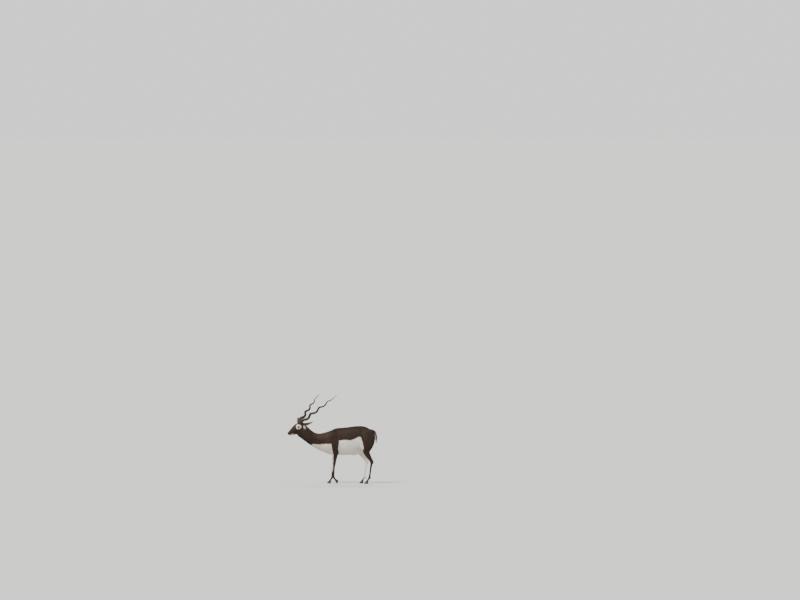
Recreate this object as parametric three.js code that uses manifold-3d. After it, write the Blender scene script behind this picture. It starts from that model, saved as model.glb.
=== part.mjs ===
// A standing male blackbuck, life size, as a still museum model.
// Body, head, corkscrew horns, ears, eyes, hooves, dewclaws and tail are nodes of their own.
// Millimetres, +Z up, floor at Z = 0. The animal faces -X with its left side towards -Y.
// Places are written from a zero near the shoulder, and the finished group is centred at the end.
import * as THREE from "three";
import { mergeVertices } from "three/addons/utils/BufferGeometryUtils.js";
import Module from "manifold-3d";

const wasm = await Module();
wasm.setup();

// Driving dimensions
const WITHERS = 786; // height of the back over the shoulders
const CROUP = 800; // height of the back over the hips
const STERNUM = 408; // underside of the chest
const ELBOW = 478;
const FORE_KNEE = 292;
const STIFLE = 490;
const HOCK = 302;
const FETLOCK = 91;
const FORE_TRACK = 62; // half the distance between the fore feet
const HIND_TRACK = 64;
const GAP = 0.3; // left between neighbouring nodes
const EYE_RADIUS = 18;
const HEAD_YAW = THREE.MathUtils.degToRad(30); // towards the animal's left
const HEAD_PITCH = THREE.MathUtils.degToRad(18); // muzzle down
const HORN_TURNS = 4.4;
const HORN_BASE_RADIUS = 20;
const HORN_RINGS = 30;
const MOUTH_LENGTH = 82;
const LIP = 3.2;
const EAR_LENGTH = 146;
const HOOF_LENGTH = 60;
const HOOF_WIDTH = 19;
const HOOF_HEIGHT = 34;
const TAIL_LENGTH = 165;

const COLOURS = {
  coat: { color: 0x2b211b, roughness: 0.75, metalness: 0 },
  horn: { color: 0x2c2622, roughness: 0.5, metalness: 0 },
  hoof: { color: 0x1f1b19, roughness: 0.45, metalness: 0 },
  eye: { color: 0x0d0907, roughness: 0.08, metalness: 0 },
};

const SIDES = [
  { word: "left", sign: -1 },
  { word: "right", sign: 1 },
];

// Small vector helpers
const vec = (x, y, z) => new THREE.Vector3(x, y, z);
const mix = THREE.MathUtils.lerp;
const limit = THREE.MathUtils.clamp;

function spline(values, t) {
  const last = values.length - 1;
  const i = Math.min(Math.floor(t), last - 1);
  const f = t - i;
  const a = values[Math.max(i - 1, 0)];
  const b = values[i];
  const c = values[i + 1];
  const d = values[Math.min(i + 2, last)];
  const m0 = (c - a) / 2;
  const m1 = (d - b) / 2;
  const f2 = f * f;
  const f3 = f2 * f;
  return (2 * f3 - 3 * f2 + 1) * b + (f3 - 2 * f2 + f) * m0 + (3 * f2 - 2 * f3) * c + (f3 - f2) * m1;
}

function softMin(a, b, k) {
  const h = Math.max(k - Math.abs(a - b), 0) / k;
  return Math.min(a, b) - h * h * k * 0.25;
}

// Solid fields: each returns a distance that is negative inside the form
function ellipsoid(centre, radii, tilt = 0) {
  const [rx, ry, rz] = radii;
  const c = Math.cos(tilt);
  const s = Math.sin(tilt);
  return (x, y, z) => {
    const dx = x - centre[0];
    const dy = y - centre[1];
    const dz = z - centre[2];
    const ex = dx * c + dz * s;
    const ez = dz * c - dx * s;
    const r = Math.hypot(ex / rx, dy / ry, ez / rz) + 1e-6;
    const length = Math.hypot(ex, dy, ez);
    return length < 1e-3 ? -Math.min(rx, ry, rz) : length * (1 - 1 / r);
  };
}

// A limb through stations [x, y, z, half depth, half width]; the width lies along Y
function limb(stations, steps = 3) {
  const columns = stations[0].map((_, i) => stations.map((row) => row[i]));
  const count = (stations.length - 1) * steps;
  const rows = [];
  for (let i = 0; i <= count; i += 1) {
    rows.push(columns.map((column) => spline(column, i / steps)));
  }
  const segments = [];
  for (let i = 0; i < count; i += 1) {
    const a = vec(rows[i][0], rows[i][1], rows[i][2]);
    const b = vec(rows[i + 1][0], rows[i + 1][1], rows[i + 1][2]);
    const t = b.clone().sub(a);
    const length = t.length();
    t.divideScalar(length);
    const w = vec(0, 1, 0).addScaledVector(t, -t.y).normalize();
    const d = t.clone().cross(w);
    segments.push({ a, t, w, d, length, from: rows[i], to: rows[i + 1] });
  }
  const reach = Math.max(...rows.map((row) => Math.max(row[3], row[4]))) + 70;
  const low = [0, 1, 2].map((i) => Math.min(...rows.map((row) => row[i])) - reach);
  const high = [0, 1, 2].map((i) => Math.max(...rows.map((row) => row[i])) + reach);
  return (x, y, z) => {
    if (x < low[0] || y < low[1] || z < low[2] || x > high[0] || y > high[1] || z > high[2]) {
      return 1e3;
    }
    let best = 1e3;
    for (const g of segments) {
      const px = x - g.a.x;
      const py = y - g.a.y;
      const pz = z - g.a.z;
      const along = px * g.t.x + py * g.t.y + pz * g.t.z;
      const s = limit(along / g.length, 0, 1);
      const depth = mix(g.from[3], g.to[3], s);
      const width = mix(g.from[4], g.to[4], s);
      const u = px * g.d.x + py * g.d.y + pz * g.d.z;
      const v = px * g.w.x + py * g.w.y + pz * g.w.z;
      const w = along - s * g.length;
      const r = Math.hypot(u / depth, v / width, w / (0.5 * (depth + width))) + 1e-6;
      const length = Math.hypot(u, v, w);
      const value = length < 1e-3 ? -Math.min(depth, width) : length * (1 - 1 / r);
      best = Math.min(best, value);
    }
    return best;
  };
}

// A trunk through upright sections [x, top, bottom, half width], rounded off past both ends
function trunk(rows, endDepth) {
  const columns = rows[0].map((_, i) => rows.map((row) => row[i]));
  const xs = columns[0];
  const last = xs.length - 1;
  return (x, y, z) => {
    const cx = limit(x, xs[0], xs[last]);
    let i = 0;
    while (i < last - 1 && cx > xs[i + 1]) {
      i += 1;
    }
    const t = i + (cx - xs[i]) / (xs[i + 1] - xs[i]);
    const top = spline(columns[1], t);
    const bottom = spline(columns[2], t);
    const half = spline(columns[3], t);
    const crest = mix(bottom, top, 0.44);
    const v = z > crest ? (z - crest) / (top - crest) : (z - crest) / (crest - bottom);
    const power = z > crest ? 1.95 : 2.2;
    const ring = Math.pow(Math.pow(Math.abs(y) / half, power) + Math.pow(Math.abs(v), power), 1 / power);
    const r = Math.hypot(ring, (x - cx) / endDepth) + 1e-6;
    const length = Math.hypot(y, z - crest, x - cx);
    return length < 1e-3 ? -half : length * (1 - 1 / r);
  };
}

// The head has its own frame: u towards the nose, w to the animal's left, v up, zero between the eyes
const level = vec(-Math.cos(HEAD_YAW), -Math.sin(HEAD_YAW), 0);
const headFrame = new THREE.Matrix4().makeBasis(
  level.clone().multiplyScalar(Math.cos(HEAD_PITCH)).add(vec(0, 0, -Math.sin(HEAD_PITCH))),
  vec(Math.sin(HEAD_YAW), -Math.cos(HEAD_YAW), 0),
  level.clone().multiplyScalar(Math.sin(HEAD_PITCH)).add(vec(0, 0, Math.cos(HEAD_PITCH))),
);
headFrame.setPosition(-524, -58, 806);
const headInverse = headFrame.clone().invert();
const fromHead = (u, w, v) => vec(u, w, v).applyMatrix4(headFrame);

const EYE_PLACE = [0, 38, 0];

function headFields() {
  const pairs = [];
  for (const side of [-1, 1]) {
    pairs.push(
      { f: ellipsoid([1, side * 33, 1], [27, 14, 23]), k: 16 }, // orbit
      { f: ellipsoid([-4, side * 35, 18], [23, 13, 8], 0.1), k: 12 }, // brow
      { f: ellipsoid([-20, side * 27, -42], [48, 15, 36]), k: 18 }, // cheek
      { f: ellipsoid([36, side * 22, -24], [40, 12, 16], -0.3), k: 16 }, // cheek bone
      { f: ellipsoid([-54, side * 21, 38], [20, 18, 24], 0.5), k: 16 }, // horn pedicle
      { f: ellipsoid([-84, side * 38, 16], [22, 16, 22]), k: 12 }, // ear root
      { f: ellipsoid([149, side * 11, -42], [15, 9, 10], -0.3), k: 7 }, // nostril wing
    );
  }
  return [
    { f: ellipsoid([-50, 0, 3], [60, 45, 45], -0.25), k: 10 }, // skull
    { f: ellipsoid([34, 0, -47], [78, 29, 28], -0.1), k: 18 }, // inside of the cheeks
    {
      f: limb([
        [-10, 0, -3, 50, 37],
        [32, 0, -11, 46, 33],
        [74, 0, -23, 38, 27.5],
        [116, 0, -36.5, 31, 23.5],
        [150, 0, -47.5, 22.5, 21],
      ]),
      k: 14,
    }, // muzzle
    {
      f: limb([
        [-36, 0, -68, 29, 32],
        [4, 0, -78, 24, 27],
        [50, 0, -81, 18.5, 21],
        [96, 0, -79, 14, 16.5],
        [138, 0, -75.5, 11, 14.5],
      ]),
      k: 12,
    }, // lower jaw
    ...pairs,
  ];
}

const headParts = headFields();

function headField(x, y, z) {
  const m = headInverse.elements;
  const u = m[0] * x + m[4] * y + m[8] * z + m[12];
  const w = m[1] * x + m[5] * y + m[9] * z + m[13];
  const v = m[2] * x + m[6] * y + m[10] * z + m[14];
  if (u < -230 || u > 260 || Math.abs(w) > 170 || Math.abs(v) > 220) {
    return 1e3;
  }
  let value = 1e3;
  for (const part of headParts) {
    value = softMin(value, part.f(u, w, v), part.k);
  }
  return value;
}

// Legs: the fore pair differs in pose, the left foot being flexed just before it leaves the ground
function foreLeg(side, shift, fetlock) {
  const out = side.sign;
  return [
    [28 + shift, out * 72, 565, 66, 28],
    [32 + shift, out * 73, 505, 50, 28],
    [28 + shift, out * 71, 450, 36, 24.5],
    [19 + shift * 0.9, out * 68, 390, 28, 21],
    [10 + shift * 0.9, out * 65, FORE_KNEE + 32, 20.5, 17.5],
    [5 + shift * 0.9, out * 64, FORE_KNEE, 21, 19],
    [1 + shift * 0.9, out * 63.5, FORE_KNEE - 28, 15.5, 14.5],
    [fetlock[0] + 3, out * 63, mix(FORE_KNEE, fetlock[1], 0.5), 13.5, 12.2],
    [fetlock[0], out * 62.5, fetlock[1] + 24, 13.5, 12.5],
    [fetlock[0] + 1, out * FORE_TRACK, fetlock[1], 16, 15.5],
  ];
}

function hindLeg(side, shift) {
  const out = side.sign;
  return [
    [486 + shift * 0.2, out * 50, 690, 82, 42],
    [482 + shift * 0.4, out * 58, 625, 97, 50],
    [466 + shift * 0.7, out * 64, 555, 92, 48],
    [446 + shift, out * 70, STIFLE, 72, 39],
    [458 + shift, out * 72, 435, 49, 29],
    [484 + shift, out * 70, 385, 31, 21.5],
    [514 + shift, out * 68, HOCK + 34, 22, 16.5],
    [529 + shift, out * 67, HOCK, 22, 18],
    [525 + shift, out * 66.5, HOCK - 30, 16.5, 14.5],
    [514 + shift, out * 66, 200, 12.5, 12],
    [503 + shift, out * 65, FETLOCK + 24, 13, 12.5],
    [500 + shift, out * HIND_TRACK, FETLOCK, 17, 15.5],
  ];
}

function pastern(foot) {
  const [x, z] = coronetOf(foot);
  const between = (t) => [mix(foot.x, x, t), foot.y, mix(foot.z, z, t)];
  return [
    [...between(0), 15, 15],
    [...between(0.5), 12.5, 13],
    [...between(0.92), 15.5, 16.5],
    [...between(1.15), 17, 17.5],
  ];
}

const FEET = {
  front_left: { x: -8, z: FETLOCK + 3, y: -FORE_TRACK, flexed: true },
  front_right: { x: -26, z: FETLOCK, y: FORE_TRACK, flexed: false },
  hind_left: { x: 500, z: FETLOCK, y: -HIND_TRACK, flexed: false },
  hind_right: { x: 430, z: FETLOCK, y: HIND_TRACK, flexed: false },
};

// The foot's own frame: forward along the sole, up from it, zero on the coronet over the claw's middle
const FLEX = THREE.MathUtils.degToRad(74);
const CORONET_ALONG = HOOF_LENGTH * 0.33;
const coronetHeight = (along) => HOOF_HEIGHT * (0.62 + (0.61 * along) / HOOF_LENGTH);
const CORONET_RISE = coronetHeight(CORONET_ALONG);

function coronetOf(foot) {
  const toe = (HOOF_LENGTH - CORONET_ALONG) * Math.sin(FLEX) + CORONET_RISE * Math.cos(FLEX);
  return foot.flexed ? [foot.x + 38, toe - 2] : [foot.x - 38, CORONET_RISE];
}

function footPoint(foot, along, wide, up) {
  const [x, z] = coronetOf(foot);
  const turn = foot.flexed ? FLEX : 0;
  const a = along - CORONET_ALONG;
  const b = up - CORONET_RISE;
  return vec(
    x - a * Math.cos(turn) - b * Math.sin(turn),
    foot.y + wide,
    z + b * Math.cos(turn) - a * Math.sin(turn),
  );
}

const HIND_SHIFT = { left: 0, right: -70 };
const FORE_SHIFT = { left: 0, right: -18 };

function legFields(side) {
  const fore = FEET[`front_${side.word}`];
  const hind = FEET[`hind_${side.word}`];
  const h = HIND_SHIFT[side.word];
  const out = side.sign;
  return [
    { f: ellipsoid([0, out * 53, 640], [64, 38, 100], 0.25), k: 50 }, // shoulder blade
    { f: ellipsoid([-62, out * 60, 556], [52, 32, 54]), k: 40 }, // point of the shoulder
    { f: ellipsoid([40, out * 72, 560], [62, 27, 62]), k: 34 }, // back of the upper arm
    { f: limb(foreLeg(side, FORE_SHIFT[side.word], [fore.x, fore.z])), k: 26 },
    { f: limb(pastern(fore)), k: 7 },
    { f: limb(hindLeg(side, h)), k: 38 },
    {
      f: limb([
        [500 + h, out * 71, 420, 12, 9],
        [534 + h, out * 68.5, 365, 8, 7.5],
        [551 + h, out * 67, HOCK + 26, 9.5, 9],
        [545 + h, out * 67, HOCK - 6, 9, 10],
      ]),
      k: 10,
    }, // tendon and point of the hock
    { f: limb(pastern(hind)), k: 7 },
  ];
}

function bodyFields() {
  return [
    {
      f: trunk(
        [
          [-190, 676, 500, 52],
          [-130, 708, 448, 68],
          [-60, 746, 414, 82],
          [20, WITHERS - 2, STERNUM - 2, 91],
          [100, WITHERS + 6, STERNUM - 4, 99],
          [180, 800, STERNUM - 4, 107],
          [260, 811, STERNUM + 4, 109],
          [330, 817, STERNUM + 30, 103],
          [400, 816, STERNUM + 70, 95],
          [460, CROUP, 520, 82],
          [520, 766, 570, 62],
        ],
        62,
      ),
      k: 20,
    },
    {
      f: limb([
        [-457, -22, 764, 89, 49],
        [-400, -14, 706, 92, 51],
        [-327, -5, 649, 93, 55],
        [-240, 0, 608, 106, 61],
        [-150, 0, 586, 134, 70],
        [-60, 0, 586, 146, 78],
      ]),
      k: 40,
    }, // neck
    { f: ellipsoid([-472, -36, 722], [54, 38, 62]), k: 26 }, // throat
    { f: ellipsoid([300, 0, 418], [60, 17, 20], 0.2), k: 22 }, // sheath
    { f: ellipsoid([424, 0, 476], [24, 22, 40]), k: 12 }, // between the thighs
    { f: ellipsoid([522, 0, 706], [52, 40, 58]), k: 30 }, // pin bones
    ...SIDES.flatMap(legFields),
  ];
}

const bodyParts = bodyFields();

function bodyField(x, y, z) {
  let value = 1e3;
  for (const part of bodyParts) {
    value = softMin(value, part.f(x, y, z), part.k);
  }
  return softMin(value, headField(x, y, z), 24);
}

// Where two inside corners of a grid square touch only across it, the weaker outside corner is filled
function joinCheckers(values, counts) {
  const strides = [1, counts[0], counts[0] * counts[1]];
  const pairs = [[0, 1], [1, 2], [0, 2]];
  for (let pass = 0; pass < 4; pass += 1) {
    for (let n = 0; n < values.length; n += 1) {
      const place = [n % counts[0], Math.floor(n / strides[1]) % counts[1], Math.floor(n / strides[2])];
      for (const [a, b] of pairs) {
        if (place[a] + 1 >= counts[a] || place[b] + 1 >= counts[b]) {
          continue;
        }
        const square = [n, n + strides[a], n + strides[a] + strides[b], n + strides[b]];
        const [p, q, r, t] = square.map((m) => values[m] < 0);
        if (p === r && q === t && p !== q) {
          const empty = p ? [square[1], square[3]] : [square[0], square[2]];
          const weaker = values[empty[0]] < values[empty[1]] ? empty[0] : empty[1];
          values[weaker] = -0.05;
        }
      }
    }
  }
}

// Surface nets over a box, with the finished points moved onto the field's zero surface
function polygonize(field, low, high, steps, frame = null) {
  const counts = [0, 1, 2].map((i) => Math.ceil((high[i] - low[i]) / steps[i]));
  const size = [0, 1, 2].map((i) => (high[i] - low[i]) / counts[i]);
  const [nx, ny, nz] = counts.map((n) => n + 1);
  const probe = new THREE.Vector3();
  const at = (x, y, z) => {
    if (!frame) {
      return field(x, y, z);
    }
    probe.set(x, y, z).applyMatrix4(frame);
    return field(probe.x, probe.y, probe.z);
  };
  const index = (i, j, k) => i + nx * (j + ny * k);
  const values = new Float64Array(nx * ny * nz);
  for (let k = 0; k < nz; k += 1) {
    for (let j = 0; j < ny; j += 1) {
      for (let i = 0; i < nx; i += 1) {
        const edge = i === 0 || j === 0 || k === 0 || i === nx - 1 || j === ny - 1 || k === nz - 1;
        const value = at(low[0] + i * size[0], low[1] + j * size[1], low[2] + k * size[2]);
        values[index(i, j, k)] = edge ? Math.max(value, 0.5) : value;
      }
    }
  }
  joinCheckers(values, [nx, ny, nz]);
  const corners = [0, 1, 2, 3, 4, 5, 6, 7].map((c) => [c & 1, (c >> 1) & 1, (c >> 2) & 1]);
  const edges = [];
  for (let a = 0; a < 8; a += 1) {
    for (const bit of [1, 2, 4]) {
      if (!(a & bit)) {
        edges.push([a, a | bit]);
      }
    }
  }
  const points = [];
  const cellPoint = new Int32Array(nx * ny * nz).fill(-1);
  for (let k = 0; k < nz - 1; k += 1) {
    for (let j = 0; j < ny - 1; j += 1) {
      for (let i = 0; i < nx - 1; i += 1) {
        const cell = corners.map(([a, b, c]) => values[index(i + a, j + b, k + c)]);
        const inside = cell.filter((value) => value < 0).length;
        if (inside === 0 || inside === 8) {
          continue;
        }
        const sum = [0, 0, 0];
        let crossings = 0;
        for (const [a, b] of edges) {
          if (cell[a] < 0 !== cell[b] < 0) {
            const t = cell[a] / (cell[a] - cell[b]);
            for (let axis = 0; axis < 3; axis += 1) {
              sum[axis] += mix(corners[a][axis], corners[b][axis], t);
            }
            crossings += 1;
          }
        }
        const rim = i === 0 || j === 0 || k === 0 || i === nx - 2 || j === ny - 2 || k === nz - 2;
        cellPoint[index(i, j, k)] = points.length;
        const corner = [i, j, k];
        const p = sum.map((s, axis) => low[axis] + (corner[axis] + s / crossings) * size[axis]);
        points.push({ p, rim });
      }
    }
  }
  const reach = 0.35 * Math.min(...size);
  for (const point of points) {
    for (let pass = 0; pass < 2 && !point.rim; pass += 1) {
      const [x, y, z] = point.p;
      const value = at(x, y, z);
      const h = 0.5;
      const g = [
        at(x + h, y, z) - at(x - h, y, z),
        at(x, y + h, z) - at(x, y - h, z),
        at(x, y, z + h) - at(x, y, z - h),
      ];
      const slope = Math.hypot(...g);
      if (slope < 1e-3) {
        break;
      }
      const move = limit((value * 2 * h) / slope, -reach, reach);
      point.p = point.p.map((c, axis) => c - (g[axis] / slope) * move);
    }
  }
  const faces = [];
  const quad = (a, b, c, d, flip) => {
    const loop = flip ? [a, d, c, b] : [a, b, c, d];
    const [pa, pb, pc, pd] = loop.map((n) => points[n].p);
    const first = Math.hypot(pa[0] - pc[0], pa[1] - pc[1], pa[2] - pc[2]);
    const second = Math.hypot(pb[0] - pd[0], pb[1] - pd[1], pb[2] - pd[2]);
    if (first < second) {
      faces.push(loop[0], loop[1], loop[2], loop[0], loop[2], loop[3]);
    } else {
      faces.push(loop[1], loop[2], loop[3], loop[1], loop[3], loop[0]);
    }
  };
  for (let k = 0; k < nz - 1; k += 1) {
    for (let j = 0; j < ny - 1; j += 1) {
      for (let i = 0; i < nx - 1; i += 1) {
        const here = values[index(i, j, k)] < 0;
        const cell = (a, b, c) => cellPoint[index(i - a, j - b, k - c)];
        if (j && k && here !== values[index(i + 1, j, k)] < 0) {
          quad(cell(0, 1, 1), cell(0, 0, 1), cell(0, 0, 0), cell(0, 1, 0), !here);
        }
        if (i && k && here !== values[index(i, j + 1, k)] < 0) {
          quad(cell(1, 0, 1), cell(1, 0, 0), cell(0, 0, 0), cell(0, 0, 1), !here);
        }
        if (i && j && here !== values[index(i, j, k + 1)] < 0) {
          quad(cell(1, 1, 0), cell(0, 1, 0), cell(0, 0, 0), cell(1, 0, 0), !here);
        }
      }
    }
  }
  const places = new Float32Array(points.length * 3);
  points.forEach((point, n) => {
    probe.set(...point.p);
    if (frame) {
      probe.applyMatrix4(frame);
    }
    places.set([probe.x, probe.y, probe.z], n * 3);
  });
  return solidOf(places, new Uint32Array(faces));
}

// A limb's skin as rings round a centre line, each point where a ray from outside meets the field
function ringsOver(field, stations, spacing, around, reach) {
  const middles = stations.map((row) => vec(row[0], row[1], row[2]));
  const curve = new THREE.CatmullRomCurve3(middles, false, "centripetal");
  const count = Math.round(curve.getLength() / spacing);
  const rings = [];
  for (let i = 0; i <= count; i += 1) {
    const centre = curve.getPointAt(i / count);
    const ahead = curve.getPointAt(Math.min((i + 0.6) / count, 1));
    const tangent = ahead.sub(curve.getPointAt(Math.max((i - 0.6) / count, 0))).normalize();
    const wide = vec(0, 1, 0).addScaledVector(tangent, -tangent.y).normalize();
    const deep = tangent.clone().cross(wide);
    const ring = [];
    for (let n = 0; n < around; n += 1) {
      const a = (2 * Math.PI * n) / around;
      const ray = wide.clone().multiplyScalar(Math.cos(a)).addScaledVector(deep, Math.sin(a));
      const value = (r) => field(centre.x + ray.x * r, centre.y + ray.y * r, centre.z + ray.z * r);
      let outer = reach;
      while (outer > 6 && value(outer) > 0) {
        outer -= 3;
      }
      let low = outer;
      let high = Math.min(outer + 3, reach);
      for (let pass = 0; pass < 8; pass += 1) {
        const middle = (low + high) / 2;
        if (value(middle) > 0) {
          high = middle;
        } else {
          low = middle;
        }
      }
      ring.push(centre.clone().addScaledVector(ray, low));
    }
    rings.push(ring);
  }
  return skinOver(rings);
}

// Between plain arrays of points, surfaces and solids
function solidOf(vertProperties, triVerts) {
  return new wasm.Manifold(new wasm.Mesh({ numProp: 3, vertProperties, triVerts }));
}

function solidFrom(geometry) {
  const plain = geometry.clone();
  plain.deleteAttribute("normal");
  plain.deleteAttribute("uv");
  const merged = mergeVertices(plain, 1e-4);
  return solidOf(new Float32Array(merged.attributes.position.array), new Uint32Array(merged.index.array));
}

function largest(solid) {
  return solid.decompose().sort((a, b) => b.volume() - a.volume())[0];
}

function geometryOf(solid) {
  const mesh = largest(solid).getMesh();
  const geometry = new THREE.BufferGeometry();
  geometry.setAttribute("position", new THREE.Float32BufferAttribute(mesh.vertProperties, 3));
  geometry.setIndex(new THREE.Uint32BufferAttribute(mesh.triVerts, 1));
  geometry.computeVertexNormals();
  return geometry;
}

// The same solid with its skin moved out by a distance, or in by a negative one
function grown(solid, distance) {
  const mesh = solid.getMesh();
  const geometry = new THREE.BufferGeometry();
  geometry.setAttribute("position", new THREE.Float32BufferAttribute(mesh.vertProperties, 3));
  geometry.setIndex(new THREE.Uint32BufferAttribute(mesh.triVerts, 1));
  geometry.computeVertexNormals();
  const normals = geometry.attributes.normal.array;
  const moved = mesh.vertProperties.map((value, i) => value + distance * normals[i]);
  return solidOf(moved, mesh.triVerts);
}

// A box with one face on a plane, reaching back along the plane's normal
function slab(point, normal, width, reach) {
  const geometry = new THREE.BoxGeometry(width, width, reach);
  geometry.translate(0, 0, -reach / 2);
  const turn = new THREE.Quaternion().setFromUnitVectors(vec(0, 0, 1), normal.clone().normalize());
  geometry.applyQuaternion(turn);
  geometry.translate(point.x, point.y, point.z);
  return solidFrom(geometry);
}

function box(low, high) {
  const geometry = new THREE.BoxGeometry(high[0] - low[0], high[1] - low[1], high[2] - low[2]);
  geometry.translate((low[0] + high[0]) / 2, (low[1] + high[1]) / 2, (low[2] + high[2]) / 2);
  return solidFrom(geometry);
}

function ball(radius, at, segments = 20) {
  const geometry = new THREE.SphereGeometry(radius, segments, Math.round(segments * 0.6));
  geometry.translate(at.x, at.y, at.z);
  return solidFrom(geometry);
}

// A closed skin over rings of equal count, with flat or pointed ends
function skinOver(rings, startPoint = null, endPoint = null) {
  const count = rings[0].length;
  const places = rings.flat().flatMap((p) => [p.x, p.y, p.z]);
  const faces = [];
  for (let r = 0; r < rings.length - 1; r += 1) {
    for (let i = 0; i < count; i += 1) {
      const j = (i + 1) % count;
      const a = r * count + i;
      const b = r * count + j;
      faces.push(a, b, b + count, a, b + count, a + count);
    }
  }
  const middle = (ring) => ring.reduce((sum, p) => sum.add(p), vec(0, 0, 0)).divideScalar(count);
  const start = startPoint ?? middle(rings[0]);
  const end = endPoint ?? middle(rings[rings.length - 1]);
  const first = rings.length * count;
  places.push(start.x, start.y, start.z, end.x, end.y, end.z);
  for (let i = 0; i < count; i += 1) {
    const j = (i + 1) % count;
    const base = (rings.length - 1) * count;
    faces.push(first, j, i, first + 1, base + i, base + j);
  }
  const solid = solidOf(new Float32Array(places), new Uint32Array(faces));
  if (solid.volume() > 0) {
    return solid;
  }
  const turned = faces.map((_, i) => faces[i - (i % 3) + (2 - (i % 3))]);
  return solidOf(new Float32Array(places), new Uint32Array(turned));
}

// A horn: a tapering corkscrew with rings that grow fainter towards the smooth tip
function horn(side) {
  const out = -side.sign;
  const base = fromHead(-52, out * 21, 36);
  const tips = { left: vec(42, -262, 1258), right: vec(-214, 168, 1262) };
  const tip = tips[side.word];
  const axis = tip.clone().sub(base);
  const length = axis.length();
  axis.normalize();
  const across = vec(0, 1, 0).cross(axis).normalize();
  const over = axis.clone().cross(across);
  const start = 0.3 * Math.PI;
  const perRing = 2;
  const ringed = 0.74;
  const bodySteps = HORN_RINGS * perRing;
  const tipSteps = 13;
  const around = 8;
  const rings = [];
  const route = (s) => {
    const calm = 1 - 0.6 * THREE.MathUtils.smoothstep(s, 0.68, 1); // the last turn runs out nearly straight
    const swing = 16.5 * Math.min(s / 0.16, 1) * (1 - 0.5 * s) * calm;
    const angle = start + out * 2 * Math.PI * HORN_TURNS * s;
    return base.clone()
      .addScaledVector(axis, s * length)
      .addScaledVector(across, swing * Math.cos(angle))
      .addScaledVector(over, swing * Math.sin(angle));
  };
  for (let i = 0; i <= bodySteps + tipSteps; i += 1) {
    const past = Math.max(i - bodySteps, 0) / tipSteps;
    const s = (ringed * Math.min(i, bodySteps)) / bodySteps + (0.995 - ringed) * past;
    const centre = route(s);
    const ahead = route(s + 0.004).sub(route(s - 0.004)).normalize();
    const e1 = vec(0, 1, 0).cross(ahead).normalize();
    const e2 = ahead.clone().cross(e1);
    const ridge = s < ringed ? (i % perRing) * 1.8 * (1 - 0.5 * (s / ringed)) : 0;
    const radius = mix(HORN_BASE_RADIUS, 3.4, Math.pow(s, 1.45)) + ridge;
    const ring = [];
    for (let n = 0; n < around; n += 1) {
      const a = (2 * Math.PI * n) / around;
      const point = centre.clone().addScaledVector(e1, radius * Math.cos(a));
      ring.push(point.addScaledVector(e2, radius * Math.sin(a)));
    }
    rings.push(ring);
  }
  return skinOver(rings, null, tip);
}

// An ear: a leaf rolled at its root and opening to a cup
function ear(root, along, opening) {
  const l = along.clone().normalize();
  const side = l.clone().cross(opening).normalize();
  const open = side.clone().cross(l).normalize();
  const rows = 11;
  const across = 4;
  const wall = 3.4;
  const rings = [];
  for (let i = 0; i <= rows; i += 1) {
    const t = i / rows;
    const half = 40 * Math.pow(Math.sin(Math.PI * (0.17 + 0.81 * Math.pow(t, 0.95))), 0.8);
    const roll = mix(2.35, 0.55, Math.pow(t, 0.6));
    const radius = half / roll;
    const centre = root.clone().addScaledVector(l, t * EAR_LENGTH);
    centre.addScaledVector(open, 7 * Math.sin(Math.PI * t) - 8);
    const ring = [];
    const place = (turn, r) =>
      centre.clone()
        .addScaledVector(side, r * Math.sin(turn))
        .addScaledVector(open, radius - r * Math.cos(turn));
    const thick = Math.min(wall, radius * 0.5) * mix(1.5, 0.6, t);
    for (let n = 0; n <= 2 * across; n += 1) {
      ring.push(place(mix(-roll, roll, n / (2 * across)), radius));
    }
    for (let n = 2 * across; n >= 0; n -= 1) {
      ring.push(place(mix(-roll, roll, n / (2 * across)) * 0.97, radius - thick));
    }
    rings.push(ring);
  }
  const tip = root.clone().addScaledVector(l, EAR_LENGTH * 1.03).addScaledVector(open, -6);
  return skinOver(rings, null, tip);
}

// One claw of a cloven hoof, its inner wall straight, its toe pointed and its sole flat
function claw(foot, out) {
  const inner = 1.2;
  const levels = [
    { rise: 0, back: 0, front: 1, wide: 1 },
    { rise: 0.45, back: 0, front: 0.83, wide: 0.95 },
    { rise: 1, back: 0.03, front: 0.63, wide: 0.84 },
  ];
  const plan = [
    [0, 0.3],
    [0.1, 0.72],
    [0.36, 0.97],
    [0.62, 0.88],
    [0.86, 0.5],
    [1, 0.12],
  ];
  const rings = levels.map((level) => {
    const place = (share, wide) => {
      const along = HOOF_LENGTH * mix(level.back, level.front, share);
      const side = inner + HOOF_WIDTH * wide * level.wide;
      return footPoint(foot, along, out * side, level.rise * (coronetHeight(along) - GAP));
    };
    const wall = plan.map(([share, wide]) => place(share, wide));
    const cleft = [0.97, 0.6, 0.08].map((share) => place(share, 0));
    return [...wall, ...cleft];
  });
  return skinOver(rings);
}

function dewclaw(foot, out) {
  const geometry = new THREE.ConeGeometry(6.6, 15, 7);
  const lean = foot.flexed ? -0.9 : -0.35;
  geometry.rotateX(-Math.PI / 2);
  geometry.rotateY(lean);
  const back = foot.flexed ? [15, 2] : [15, -12];
  geometry.translate(foot.x + back[0], foot.y + out * 9.5, foot.z + back[1]);
  return solidFrom(geometry);
}

// Cutting planes and boxes between the regions of the one continuous body
const HEAD_PLANE = { point: vec(-436, -25, 748), normal: vec(-0.8, -0.3, 0.5) };
const NECK_PLANE = { point: vec(-190, 0, 625), normal: vec(-0.857, 0, 0.514) };
const FORE_CUT = ELBOW - 50;
const HIND_CUT = STIFLE - 58;

function planeSide(plane, offset, front) {
  const n = plane.normal.clone().normalize();
  const point = plane.point.clone().addScaledVector(n, offset);
  return slab(point, front ? n.clone().negate() : n, 1600, 1600);
}

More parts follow.
